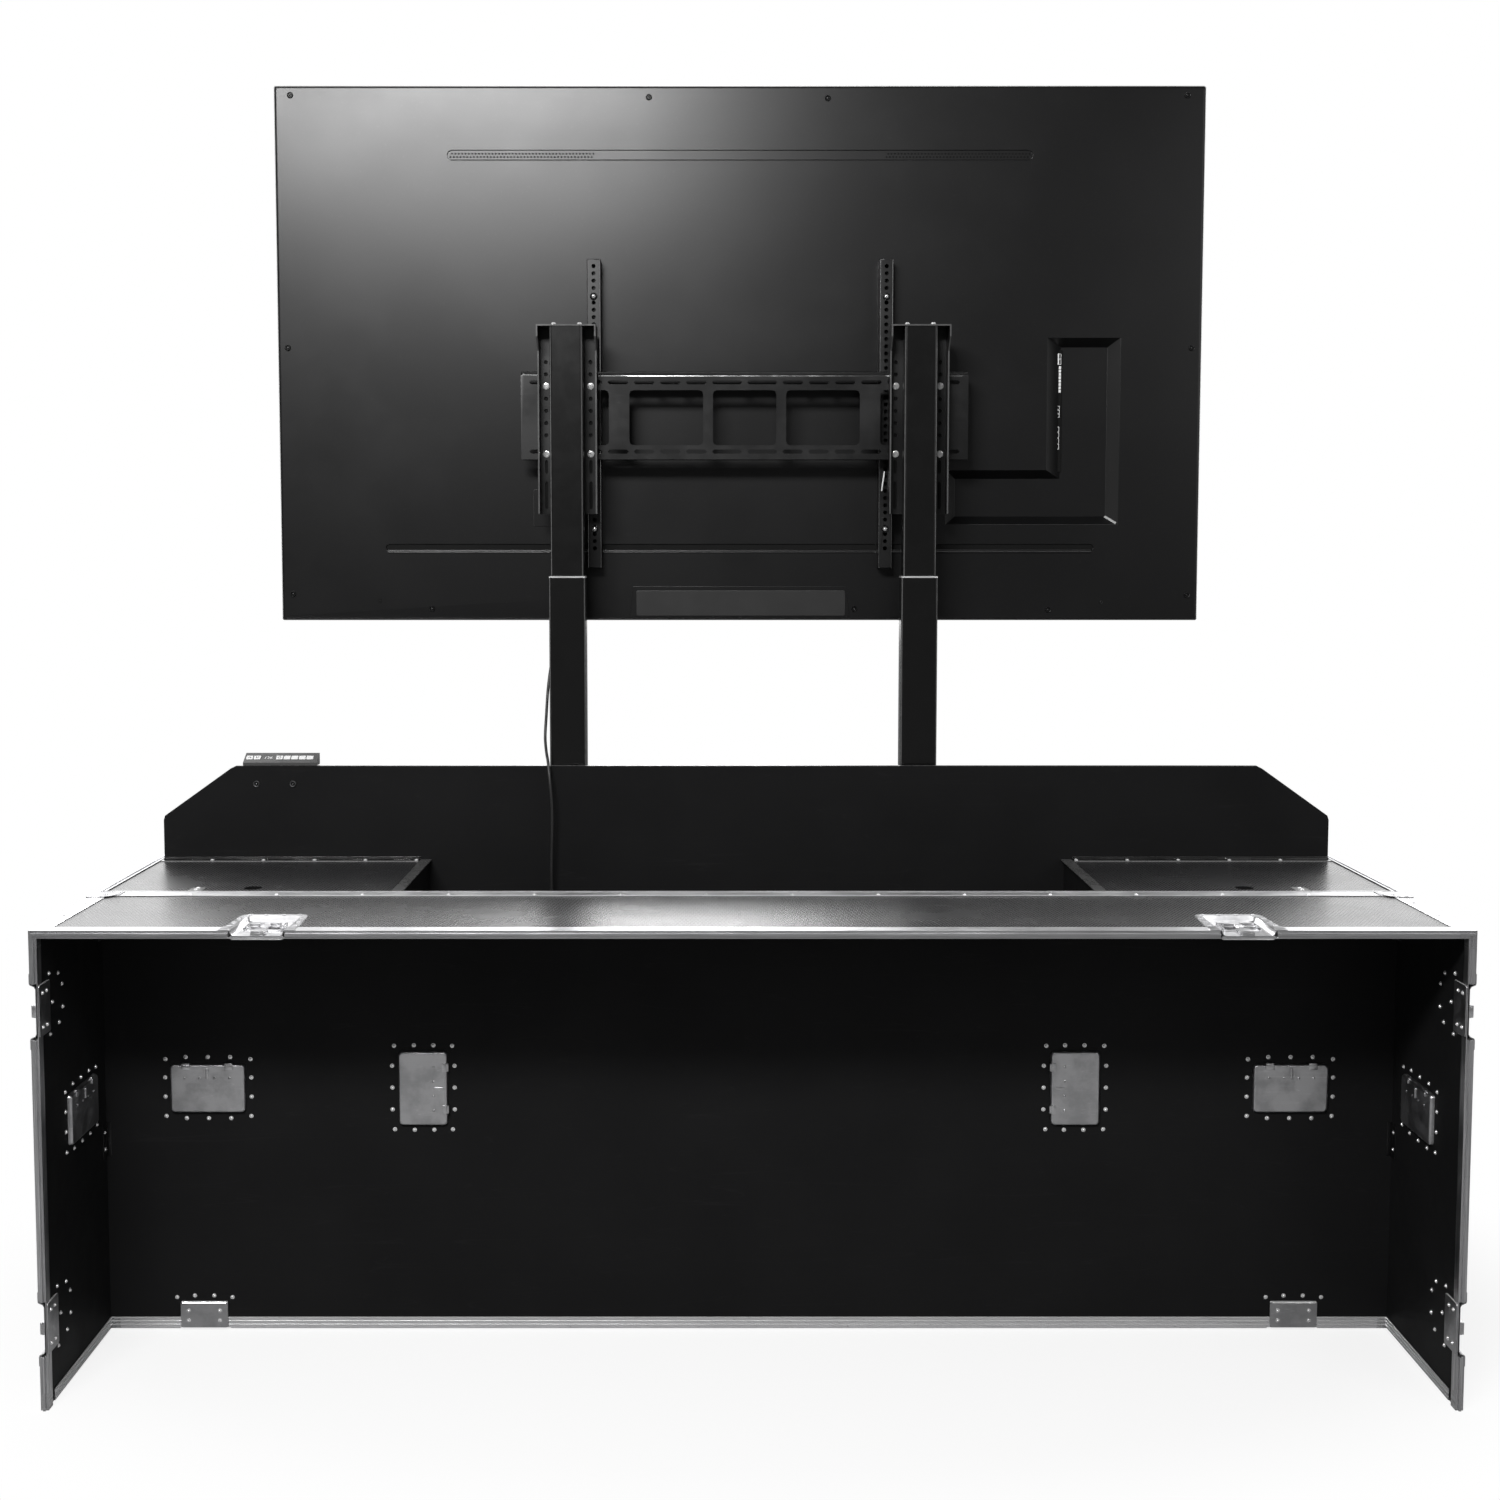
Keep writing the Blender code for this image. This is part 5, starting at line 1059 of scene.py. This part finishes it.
def dress_lift():
    # The columns' rounded front corners are painted the edge grey as painted highlight lines.
    def tube_corner_highlights(centre, normal):
        return int(normal.y < 0.0 and 0.5 < abs(normal.x) < 0.87)

    for _, word in SIDES:
        for stage, body, _ in STAGES:
            dressed(f"column_{stage}_{word}", ["column_paint", "edge_grey_and_highlight"], body, tube_corner_highlights)
        (left, front, _), (right, _, top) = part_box(f"bracket_{word}")

        # The bracket's front edges are painted the edge grey as painted highlight lines.
        def bracket_edge_highlights(centre, normal):
            near = min(abs(centre.x - left), abs(centre.x - right), abs(centre.z - top), centre.y - front)
            return int(normal.y < -0.3 and near < 0.0031)
        hole = prism_shape(circle(0.0042, 16), -0.002, 0.006)
        holes = [placed_shape(hole, frame_at(((left + right) / 2 + a, BRACKET_WEB, z), (1, 0, 0), (0, 0, -1)))
                 for a in (-BRACKET_HOLE_X, BRACKET_HOLE_X) for z in BRACKET_HOLES]
        dressed(f"bracket_{word}", ["black_steel", "edge_grey_and_highlight"], "tv_carriage", bracket_edge_highlights, 0.0008, 2,
                cuts=holes)
        (left, front, _), (right, _, top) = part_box(f"tv_arm_{word}")

        def arm_edges(p):
            return abs(p.y - front) < 0.0002 and min(abs(p.x - left), abs(p.x - right)) < 0.0002

        # Bare steel painted on the arms' rounded front edges as painted highlight lines.
        def arm_edge_highlights(centre, normal):
            edge = 0.45 < abs(normal.x) < 0.90 and normal.y < -0.3
            return int(edge and min(abs(centre.x - left), abs(centre.x - right)) < 0.0026)
        hole, middle = prism_shape(circle(0.0044, 12), -0.002, 0.004), (left + right) / 2
        holes = [placed_shape(hole, frame_at((middle, front, top - i * 0.01485), (1, 0, 0), (0, 0, -1)))
                 for i in range(1, 41)]
        dressed(f"tv_arm_{word}", ["black_steel", "hinge_steel_and_highlight"], "tv_carriage", arm_edge_highlights,
                bends=[(arm_edges, 0.0024)], cuts=holes)
    (_, plate_front, _), (_, _, plate_top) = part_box("wall_plate")

    def plate_bend(inset):
        return lambda p: abs(p.y - plate_front - inset) < 0.0002 and abs(p.z - plate_top + inset) < 0.0002

    # Bare steel painted on the faces of the top bend that are tilted to catch the lamps, as painted highlight bands.
    def plate_bend_highlights(centre, normal):
        bend = centre.z > plate_top - 0.0125 and normal.y < 0.0
        return int(bend and (0.05 < normal.z < 0.20 or 0.85 < normal.z < 0.95))
    bends = [(plate_bend(0.0), 0.012), (plate_bend(0.0025), 0.0095)]
    dressed("wall_plate", ["black_steel", "hinge_steel_and_highlight"], "tv_carriage", plate_bend_highlights, 0.0008, 2, bends)

    # Inside the lower groove the faces are painted near-black as painted shade; the terminal recess's sloped side
    # walls are painted paler as painted light.
    def recess_lit_walls_and_shade(centre, normal):
        if centre.y > TV_Y + 0.0015 and 1.440 < centre.z < 1.470:
            return 2
        inside = 0.38 < centre.x < 0.80 and 1.48 < centre.z < 1.90 and centre.y > TV_Y + 0.0005
        return int(inside and (-0.95 < normal.x < -0.25 or normal.x > 0.25 and centre.x < 0.46))
    dressed("tv_back_cover", ["tv_plastic", "cover_plastic_and_lit_wall", "port_black_and_shade"], "tv_carriage", recess_lit_walls_and_shade, 0.0012, 2)
    dressed("tv_screen", ["tv_glass"], "tv_carriage", width=0.0006)


def stage_collars():
    """The pale wiper ring at the top of each tube that another slides in."""
    section = ((-0.0002, 0.0060, -0.0018), (0.0003, 0.0060, -0.0014), (0.0002, 0.0060, 0.0008),
               (-0.0012, 0.0060, 0.0020), (-0.0033, 0.0030, 0.0020), (-0.0033, 0.0030, -0.0018))
    for i, (stage, body, top) in enumerate(STAGES[:3]):
        half_a, half_b = ((size - i * STAGE_STEP) / 2 for size in (COLUMN_WIDTH, COLUMN_DEPTH))
        shapes = []
        for x in COLUMN_X:
            rings = [ring_of(rounded(half_a + grow, half_b + grow, radius, centre=(x, COLUMN_Y)), top + rise)
                     for grow, radius, rise in section]
            shapes.append(loft_shape(rings, joined_up=True))
        built(f"{stage}_tube_collars", shapes, ["bright_rivet_and_highlight"], body)


def lift_fasteners():
    bolts, caps, hole_shades, feet = [], [], [], []
    spots = [(rounded(0.0043, 0.0043, 0.0042), z) for z in BRACKET_HOLES]
    spots += [(rounded(0.0036, half, 0.0030), BRACKET_TOP - drop)
              for half, drop in ((0.0147, 0.2825), (0.0292, 0.3410))]
    for x in COLUMN_X:
        for part in (-1, 1):
            hole_x = x + part * BRACKET_HOLE_X
            bolts += [((hole_x, BRACKET_WEB, z), OUT) for z in (1.781, 1.643)]
            hole_shades += [placed_shape(prism_shape(outline, 0.0, 0.0004),
                                   frame_at((hole_x, BRACKET_WEB + 0.0029, z), (1, 0, 0), UP)) for outline, z in spots]
            caps.append(((x + part * 0.0262, COLUMN_Y, BRACKET_TOP), UP))
        feet += [((x + a, COLUMN_Y + b, 0.0163), UP) for a in (-0.062, 0.062) for b in (-0.022, 0.040)]
    arms = [((x, TV_Y - GAP - 0.036, z), OUT) for z in (1.9675, 1.4900) for x in (-0.3135, 0.2895)]
    set_out("bracket_bolts", bolts, head("cross", 0.0074, 0.0014, 0.8), "bright_rivet_and_highlight", "tv_carriage")
    set_out("bracket_cap_screws", caps, head("cross", 0.0056, 0.0062), "bright_rivet_and_highlight", "tv_carriage")
    # Dark discs just behind the bracket's holes, as painted shade in them.
    built("bracket_hole_plugs", hole_shades, ["port_black_and_shade"], "tv_carriage")
    set_out("mounting_screws", arms, head("cup", 0.0078, 0.0030), "black_steel", "tv_carriage")
    set_out("mounting_screw_cores", arms, head("rivet", 0.0042, 0.0040), "bright_rivet_and_highlight", "tv_carriage")
    set_out("foot_screws", feet, head("cross", 0.0055, 0.0030), "zinc_steel", "base")


def groove_lip(left, right, top, beads):
    """The rolled lower lip of a groove: rounded beads that step outwards as they go down."""
    section, y, z = [(TV_Y + 0.0032, top)], TV_Y + 0.0014, top
    for _ in range(beads):
        for turn in (60, 45, 30, 15, 0):
            lean = math.radians(turn)
            section.append((y - 0.0030 * (math.cos(lean) - 0.5), z - 0.0030 * (0.866 - math.sin(lean))))
        y, z = y - 0.0014, z - 0.0032
    y, z = section[-1]
    section += [(y, z - 0.0006), (TV_Y + 0.0004, z - 0.0022), (TV_Y + 0.0032, z - 0.0022)]
    return turned(prism_shape(section, left, right), (2, 0, 1))


def tv_details():
    """Screws, vent holes, sockets and the small things on the television's back."""
    big = [(-0.940, 2.382), (-0.200, 2.378), (0.169, 2.376), (0.911, 2.382), (-0.953, 1.866), (0.929, 1.866),
           (-0.951, 1.354), (0.928, 1.352), (-0.659, 1.323), (0.229, 1.323), (0.637, 1.321)]
    small = [(-0.768, 1.340), (0.748, 1.337), (-0.011, 1.3035)]
    for name, places, size in (("tv_screws", big, (0.0066, 0.0022)), ("tv_small_screws", small, (0.0036, 0.0010))):
        set_out(name, [((x, TV_Y, z), OUT) for x, z in places], head("cup", *size), "black_steel", "tv_carriage")
    # The vent holes are dark discs, as painted shade in the holes.
    for word, x in (("left", -0.6075), ("right", 0.2945)):
        name = f"vent_holes_{word}"
        grown(name, bpy.data.meshes.new(name), PERFORATIONS,
              {"Count": 43, "Pitch": 0.00696, "Gap": 0.0067, "Radius": 0.0021, "Depth": 0.0008,
               "Start": (x, TV_Y + 0.003, 2.2640)}, "port_black_and_shade", "tv_carriage")
    front, deep = TV_Y + 0.0205, TV_Y + 0.0262
    pale, dark = [], [box_shape((0.6470, TV_Y + 0.0225, 1.6100), (0.6640, deep, 1.8640))]
    for low, high, x, shell, cells in ((1.8334, 1.8569, 0.6512, 0.0054, 2), (1.7752, 1.8311, 0.6566, 0.0, 8),
                                       (1.7233, 1.7483, 0.6498, 0.0047, 3), (1.6569, 1.7052, 0.6485, 0.0055, 4),
                                       (1.6306, 1.6419, 0.6481, 0.0042, 0)):
        if shell:
            pale.append(box_shape((x, front, low), (x + shell, deep, high)))
        near, far = x + shell + 0.0003, x + shell + 0.0050
        for i in range(cells):
            step = (high - low) / cells
            foot, crest = low + i * step, low + (i + 1) * step
            pale.append(box_shape((near, front + 0.0010, foot + 0.0005), (far, deep, crest - 0.0005)))
            if shell:
                dark.append(box_shape((near + 0.0004, front + 0.0006, foot + 0.0014),
                                      (far - 0.0010, deep, crest - 0.0014)))
    built("socket_strip", dark, ["port_black_and_shade"], "tv_carriage", (0.0003, 1))
    built("sockets", pale, ["button_white"], "tv_carriage", (0.0003, 1))
    # A bright strip along the recess's lower corner, turned to catch the key lamp, is a painted glint; a thin grey
    # strip along its lower edge is a painted highlight line.
    lip = facet((0.7755, TV_Y + 0.0008, 1.5012), (0.7560, TV_Y + 0.0240, 1.5158), (-0.349, -0.914, 0.207), 0.0084)
    ledge = facet((0.4700, TV_Y + 0.0002, 1.4992), (0.7745, TV_Y + 0.0002, 1.4992), (0.0, -0.94, -0.34), 0.0016)
    # Two small zinc pieces: a clip, and a lower one that stands for a glint there, a painted highlight.
    clips = [box_shape((x - 0.004, TV_Y + 0.0235, z - 0.0022), (x + 0.004, deep, z + 0.0022))
             for x, z in ((0.5475, 1.6000), (0.6180, 1.5110))]
    built("recess_facet", [lip], ["bright_rivet_and_highlight"], "tv_carriage", (0.0003, 1))
    built("recess_ledge", [ledge], ["edge_grey_and_highlight"], "tv_carriage")
    built("recess_clips", clips, ["zinc_steel"], "tv_carriage", (0.0006,))
    for name, left, right, low, high, corner, finish in (
            ("foot_cover", -0.2287, 0.2094, 1.3085, 1.3616, 0.0040, "cover_plastic_and_lit_wall"),
            ("service_hatch", -0.4436, -0.4066, 1.4960, 1.5730, 0.0030, "tv_plastic")):
        outline = rounded((right - left) / 2, (high - low) / 2, corner, 3, ((left + right) / 2, (low + high) / 2))
        plate = turned(prism_shape(outline, TV_Y - 0.0022, TV_Y - 0.0004), (0, 2, 1))
        mesh = evened(bevelled(mesh_from(name, plate), 0.0009, 3))
        # The bevels are painted the edge grey as painted highlight lines round the plate.
        paint_faces(mesh, lambda centre, normal: int(abs(normal.y) < 0.95))
        new_piece(name, mesh, [finish, "edge_grey_and_highlight"], "tv_carriage", smooth=False)
    lips = [groove_lip(-0.7500, 0.7260, 1.4474, 2), groove_lip(-0.6140, 0.5900, 2.2520, 1)]
    # The lower groove's beads have their upward tilted faces painted bare steel as painted highlight lines.
    built("groove_lips", lips, ["tv_plastic", "hinge_steel_and_highlight"], "tv_carriage",
          rule=lambda centre, normal: int(normal.z > 0.55 and normal.y < -0.1 and centre.z < 2.0))
    tag = swept([(0.2870, TV_Y - 0.0375, 1.6090), (0.2860, TV_Y - 0.0385, 1.5980), (0.2835, TV_Y - 0.0385, 1.5830),
                 (0.2820, TV_Y - 0.0378, 1.5680)], [0.0012, 0.0016, 0.0016, 0.0012], 10)
    built("release_tag", [tag], ["button_white"], "tv_carriage")


# The lead's knots, with y measured from the divider's face
LEAD_ROUTE = [
    (-0.3760, 0.1070, 1.3370), (-0.3850, 0.0960, 1.3000), (-0.3970, 0.0810, 1.2400),
    (-0.4065, 0.0640, 1.1700), (-0.4100, 0.0480, 1.1050), (-0.4110, 0.0330, 1.0650),
    (-0.4070, 0.0130, 1.0370), (-0.4015, -0.0080, 1.0160), (-0.3975, -0.0210, 0.9830),
    (-0.3930, -0.0240, 0.9300), (-0.3930, -0.0230, 0.8750), (-0.3950, -0.0210, 0.8000),
    (-0.3940, -0.0190, 0.7000), (-0.3860, -0.0200, 0.5200), (-0.3750, -0.0280, 0.3300),
    (-0.3705, -0.0460, 0.2150), (-0.3700, -0.0560, 0.1720), (-0.3700, -0.0495, 0.1350),
]
LEAD_DIAMETER = 0.006
LEAD_TOP = Vector((-0.372, TV_Y - 0.006 - GAP, 1.352))
LEAD_FOOT = Vector((-0.370, DIVIDER_Y - 0.008 - GAP, 0.120))


def smooth_route(knots, count):
    """Points spaced evenly along a smooth curve through the knots, and the curve's length."""
    knots = [Vector(k) for k in knots]
    slopes = [(b - a) / 2 for a, b in zip(knots[:1] + knots[:-1], knots[1:] + knots[-1:])]
    slopes[1], slopes[-2] = knots[1] - knots[0], knots[-1] - knots[-2]
    dense = []
    for i in range(len(knots) - 1):
        handles = (knots[i], knots[i] + slopes[i] / 3, knots[i + 1] - slopes[i + 1] / 3, knots[i + 1])
        dense += interpolate_bezier(*handles, 24)[: None if i == len(knots) - 2 else -1]
    lengths = [0.0]
    for a, b in zip(dense, dense[1:]):
        lengths.append(lengths[-1] + (b - a).length)
    found, j = [], 0
    for i in range(count):
        want = lengths[-1] * i / (count - 1)
        while j < len(dense) - 2 and lengths[j + 1] < want:
            j += 1
        share = (want - lengths[j]) / (lengths[j + 1] - lengths[j])
        found.append(dense[j].lerp(dense[j + 1], min(max(share, 0), 1)))
    return found, lengths[-1]


def power_lead():
    """The lead from the television, over the divider and down to the gland, with its strain reliefs."""
    ahead = Vector((0, -0.020, 0))
    knots = [LEAD_TOP, LEAD_TOP + ahead] + [(x, DIVIDER_Y + y, z) for x, y, z in LEAD_ROUTE]
    points, length = smooth_route(knots + [LEAD_FOOT + ahead, LEAD_FOOT], 240)
    lead = built("power_lead_cord", [swept(points, [LEAD_DIAMETER / 2] * len(points), 14)], ["lead_black"], "base")
    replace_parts(lead, "power_lead")
    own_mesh(lead)
    radii = [0.0060 - 0.0024 * i / 24 + (0.00045 if 4 < i < 21 and i % 3 == 0 else 0.0) for i in range(25)]
    for name, ends, body in (("lead_boot_top", points, "tv_carriage"), ("lead_boot_foot", points[::-1], "base")):
        boot = []
        for i in range(25):
            at = i / 24 * 5
            k = min(int(at), 4)
            boot.append(ends[k].lerp(ends[k + 1], at - k))
        built(name, [swept(boot, radii, 16)], ["lead_black"], body)


def lettering(text, size, place, depth):
    """Generic numerals as a flat mesh, set in the row frame."""
    curve = bpy.data.curves.new("numerals", "FONT")
    curve.body, curve.size, curve.extrude, curve.resolution_u = text, size, depth, 3
    curve.align_x, curve.align_y = "CENTER", "CENTER"
    mesh = plain_mesh(scratch_object(curve))
    mesh.transform(place)
    return welded(mesh)


def keypad_details():
    """Marks on the keys, the display's window and its digits, and the keypad's clamp screws."""
    corner = (-1.022, DIVIDER_Y - GAP, DIVIDER_TOP + GAP + 0.006)
    place = Matrix.Translation(corner) @ Matrix.Rotation(math.radians(29), 4, "X")
    start, pitch, middle, low, high = 0.0105, 0.0155, 0.0345 / 2, 0.0007, 0.00102
    keys = [start, start + pitch] + [start + (i + 2 + 1.92) * pitch for i in range(5)]
    names = ("up", "down", "memory", "one", "two", "three", "four")
    for name, x, mark in zip(names, keys, ("^", "v", "ring", "1", "2", "3", "4")):
        name = f"key_{name}"
        if mark.isdigit():
            mesh = lettering(mark, 0.0110, place @ Matrix.Translation((x, middle, 0.0008)), 0.0001)
        else:
            if mark == "ring":
                shape = loft_shape([ring_of(circle(radius, 20), z) for radius, z in
                                    ((0.0034, low), (0.0034, high), (0.0022, high), (0.0022, low))], joined_up=True)
            else:
                tip = 0.0030 if mark == "^" else -0.0030
                shape = prism_shape([(-0.0040, -tip * 0.7), (0, tip), (0.0040, -tip * 0.7), (0.0024, -tip * 0.95),
                                     (0, tip * 0.35), (-0.0024, -tip * 0.95)], low, high)
            mesh = mesh_from(name, placed_shape(shape, place @ Matrix.Translation((x, middle, 0))))
        new_piece(f"{name}_mark", mesh, ["button_mark"], name, smooth=False)
        dressed(name, ["button_white"], name, segments=2)
    window, reach = (keys[1] + keys[2]) / 2, (keys[2] - keys[1]) / 2 - 0.00805
    glass = prism_shape(rounded(reach - 0.0002, 0.0058, 0.0006, 2, centre=(window, middle)), -0.0006, -0.0001)
    built("display_window", [placed_shape(glass, place)], ["display_glass"], "base")
    mesh = lettering("126", 0.0115, place @ Matrix.Translation((window, middle, 0.0001)), 0.00015)
    new_piece("display_digits", mesh, ["button_white"], "base", smooth=False)
    dressed("keypad_housing", ["keypad_plastic"], "base", width=0.0009, segments=2)
    clamps, cores = ([((x, DIVIDER_Y - rise, 0.973), OUT) for x in (-0.995, -0.921)] for rise in (0, 0.0006))
    set_out("keypad_clamp_screws", clamps, head("cup", 0.0066, 0.0034), "zinc_steel", "base")
    set_out("keypad_screw_cores", cores, head("rivet", 0.0042, 0.0024), "port_black_and_shade", "base")


def deck_details():
    """Rivets on the flaps' hinge leaves and catch tabs, and the braces in the cover's corners."""
    top = DECK_TOP + 0.0015
    for side, word in SIDES:
        (_, front, _), (_, rear, _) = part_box(f"flap_{word}")
        catch = side * (0.66375 + (1.1849 - 0.66375) * 0.693)
        spots = [((side * (0.669 + 0.1035 * i), rear - 0.0060 - 0.0090, top), UP) for i in range(5)]
        spots += [((catch, front + b, top), UP) for b in (0.012, 0.028)]
        set_out(f"flap_rivets_{word}", spots, head("rivet", 0.0042, 0.0024), "bright_rivet_and_highlight", f"flap_{word}")
    spots, shapes = [], []
    inner, back = HALF_WIDTH + PANEL_IN, COVER_REAR + PANEL_IN
    for side, _ in SIDES:
        for low, high in ((0.735, 0.798), (0.330, 0.393)):
            near, far = sorted((side * inner, side * (inner - 0.009)))
            shapes.append(box_shape((near, back - 0.0016, low), (far, back + 0.0002, high)))
            near, far = sorted((side * (inner + 0.0002), side * (inner - 0.0016)))
            shapes.append(box_shape((near, back - 0.022, low), (far, back - 0.0012, high)))
            spots += [((side * (inner - 0.0016), back - 0.013, low + (high - low) * share), (-side, 0, 0))
                      for share in (0.25, 0.75)]
    built("corner_braces", shapes, ["black_steel"], "desk_cover", (0.0006,))
    set_out("corner_brace_rivets", spots, head("tail", 0.0036, 0.0022), "bright_rivet_and_highlight", "desk_cover")


def handle_grips():
    """Ribbed sleeves on the spring handles' bars, whose own shape stays."""
    radii = [0.00535 + (0.00035 if i % 3 else 0.0) - (0.0006 if i in (0, 48) else 0.0) for i in range(49)]
    for name, _, place in HANDLES:
        bar = place @ Matrix.Translation((0, PIVOT_Y, PIVOT_Z))
        path = [bar @ Vector((-0.0275 + 0.055 * i / 48, -0.050, 0.0)) for i in range(49)]
        built(f"{name}_sleeve", [swept(path, radii, 16)], ["grip_rubber"], name)
        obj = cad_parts[name]
        if not obj.data.materials:
            obj.data.materials.append(MATERIALS["zinc_steel"])
        for slot in obj.material_slots:
            slot.material = MATERIALS["zinc_steel"]


# Surroundings
def lamp(name, place, target, size, energy, height=None):
    data = bpy.data.lights.new(name, "AREA")
    data.shape = "RECTANGLE" if height else "DISK"
    data.size, data.size_y, data.energy = size, height or size, energy
    obj = bpy.data.objects.new(name, data)
    obj.location = place
    obj.rotation_euler = (Vector(target) - Vector(place)).to_track_quat("-Z", "Y").to_euler()
    bpy.context.scene.collection.objects.link(obj)


def looked_at(tree):
    """1 where the camera looks, and 1 where it, a mirror or glass looks."""
    path = tree.nodes.new("ShaderNodeLightPath").outputs
    most = arithmetic(tree, "MAXIMUM", path["Is Camera Ray"], path["Is Glossy Ray"])
    return path["Is Camera Ray"], arithmetic(tree, "MAXIMUM", most, path["Is Transmission Ray"])


def mixed_surface(tree, share, first, second, output):
    mix = add(tree, "ShaderNodeMixShader", enumerate((share, first.outputs[0], second.outputs[0])))
    tree.links.new(mix.outputs[0], tree.nodes[output].inputs["Surface"])


def studio_world():
    """White to the camera; a white backdrop behind the case and a dimmer room before it in reflections."""
    world = bpy.data.worlds.new("studio")
    bpy.context.scene.world = world
    world.use_nodes = True
    tree = world.node_tree
    plain = tree.nodes["Background"]
    plain.inputs["Color"].default_value, plain.inputs["Strength"].default_value = (1, 1, 1, 1), 0.36
    camera, seen = looked_at(tree)
    x, y, _ = split(tree, tree.nodes.new("ShaderNodeTexCoord").outputs["Generated"])
    bearing = arithmetic(tree, "DIVIDE", x, arithmetic(tree, "MAXIMUM", y, 0.05))
    aside = arithmetic(tree, "ABSOLUTE", arithmetic(tree, "SUBTRACT", bearing, 0.185))
    room = times(tree, remap(tree, y, -0.25, 0.12, 0.10, 2.3, "SMOOTHSTEP"),
                 remap(tree, aside, 0.06, 0.15, 0.22, 1.0, "SMOOTHSTEP"))
    strength = arithmetic(tree, "MULTIPLY_ADD", room, arithmetic(tree, "SUBTRACT", 1.0, camera), camera)
    glow = add(tree, "ShaderNodeBackground", {"Color": (1, 1, 1, 1), "Strength": strength})
    mixed_surface(tree, seen, plain, glow, "World Output")


def studio_floor():
    """A pale floor that keeps the case's soft shadow and goes to white around it."""
    reach = 30
    corners = [(-reach, -reach, -GAP), (reach, -reach, -GAP), (reach, reach, -GAP), (-reach, reach, -GAP)]
    floor = scratch_object(mesh_from("studio_floor", (corners, [(0, 1, 2, 3)])))
    floor.name = "studio_floor"
    material = bpy.data.materials.new("studio_floor")
    material.use_nodes = True
    tree = material.node_tree
    shader = tree.nodes["Principled BSDF"]
    shader.inputs["Roughness"].default_value, shader.inputs["Specular IOR Level"].default_value = 0.9, 0.1
    camera, _ = looked_at(tree)
    tree.links.new(blend(tree, camera, grey(0.42), grey(0.95)), shader.inputs["Base Color"])
    place = vector_math(tree, "MULTIPLY", object_place(tree), (0.62, 1.0, 0.0))
    away = remap(tree, vector_math(tree, "LENGTH", place), 0.75, 1.10, 0.78, 1.0, "SMOOTHSTEP")
    glow = tree.nodes.new("ShaderNodeEmission")
    mixed_surface(tree, times(tree, away, camera), shader, glow, "Material Output")
    floor.data.materials.append(material)


def surroundings():
    studio_world()
    studio_floor()
    lamp("key", (-1.15, -3.1, 3.33), (-0.4, 0.3, 1.9), 1.8, 158, 0.55)
    lamp("back", (-0.28, 4.0, 2.55), (0.0, -0.4, 0.82), 1.15, 34, 0.6)
    lamp("fill", (3.2, -3.4, 2.6), (0.3, 0, 0.9), 2.4, 24)
    lamp("top", (0.0, 1.6, 4.4), (0, 0, 0.8), 2.6, 55)
    bpy.context.scene.view_settings.view_transform = "Standard"


place_camera()
power_lead()
cover_boards()
dishes()
knobs()
cover_edging()
base_edging()
dress_case()
dress_lift()
stage_collars()
lift_fasteners()
tv_details()
keypad_details()
deck_details()
handle_grips()
surroundings()
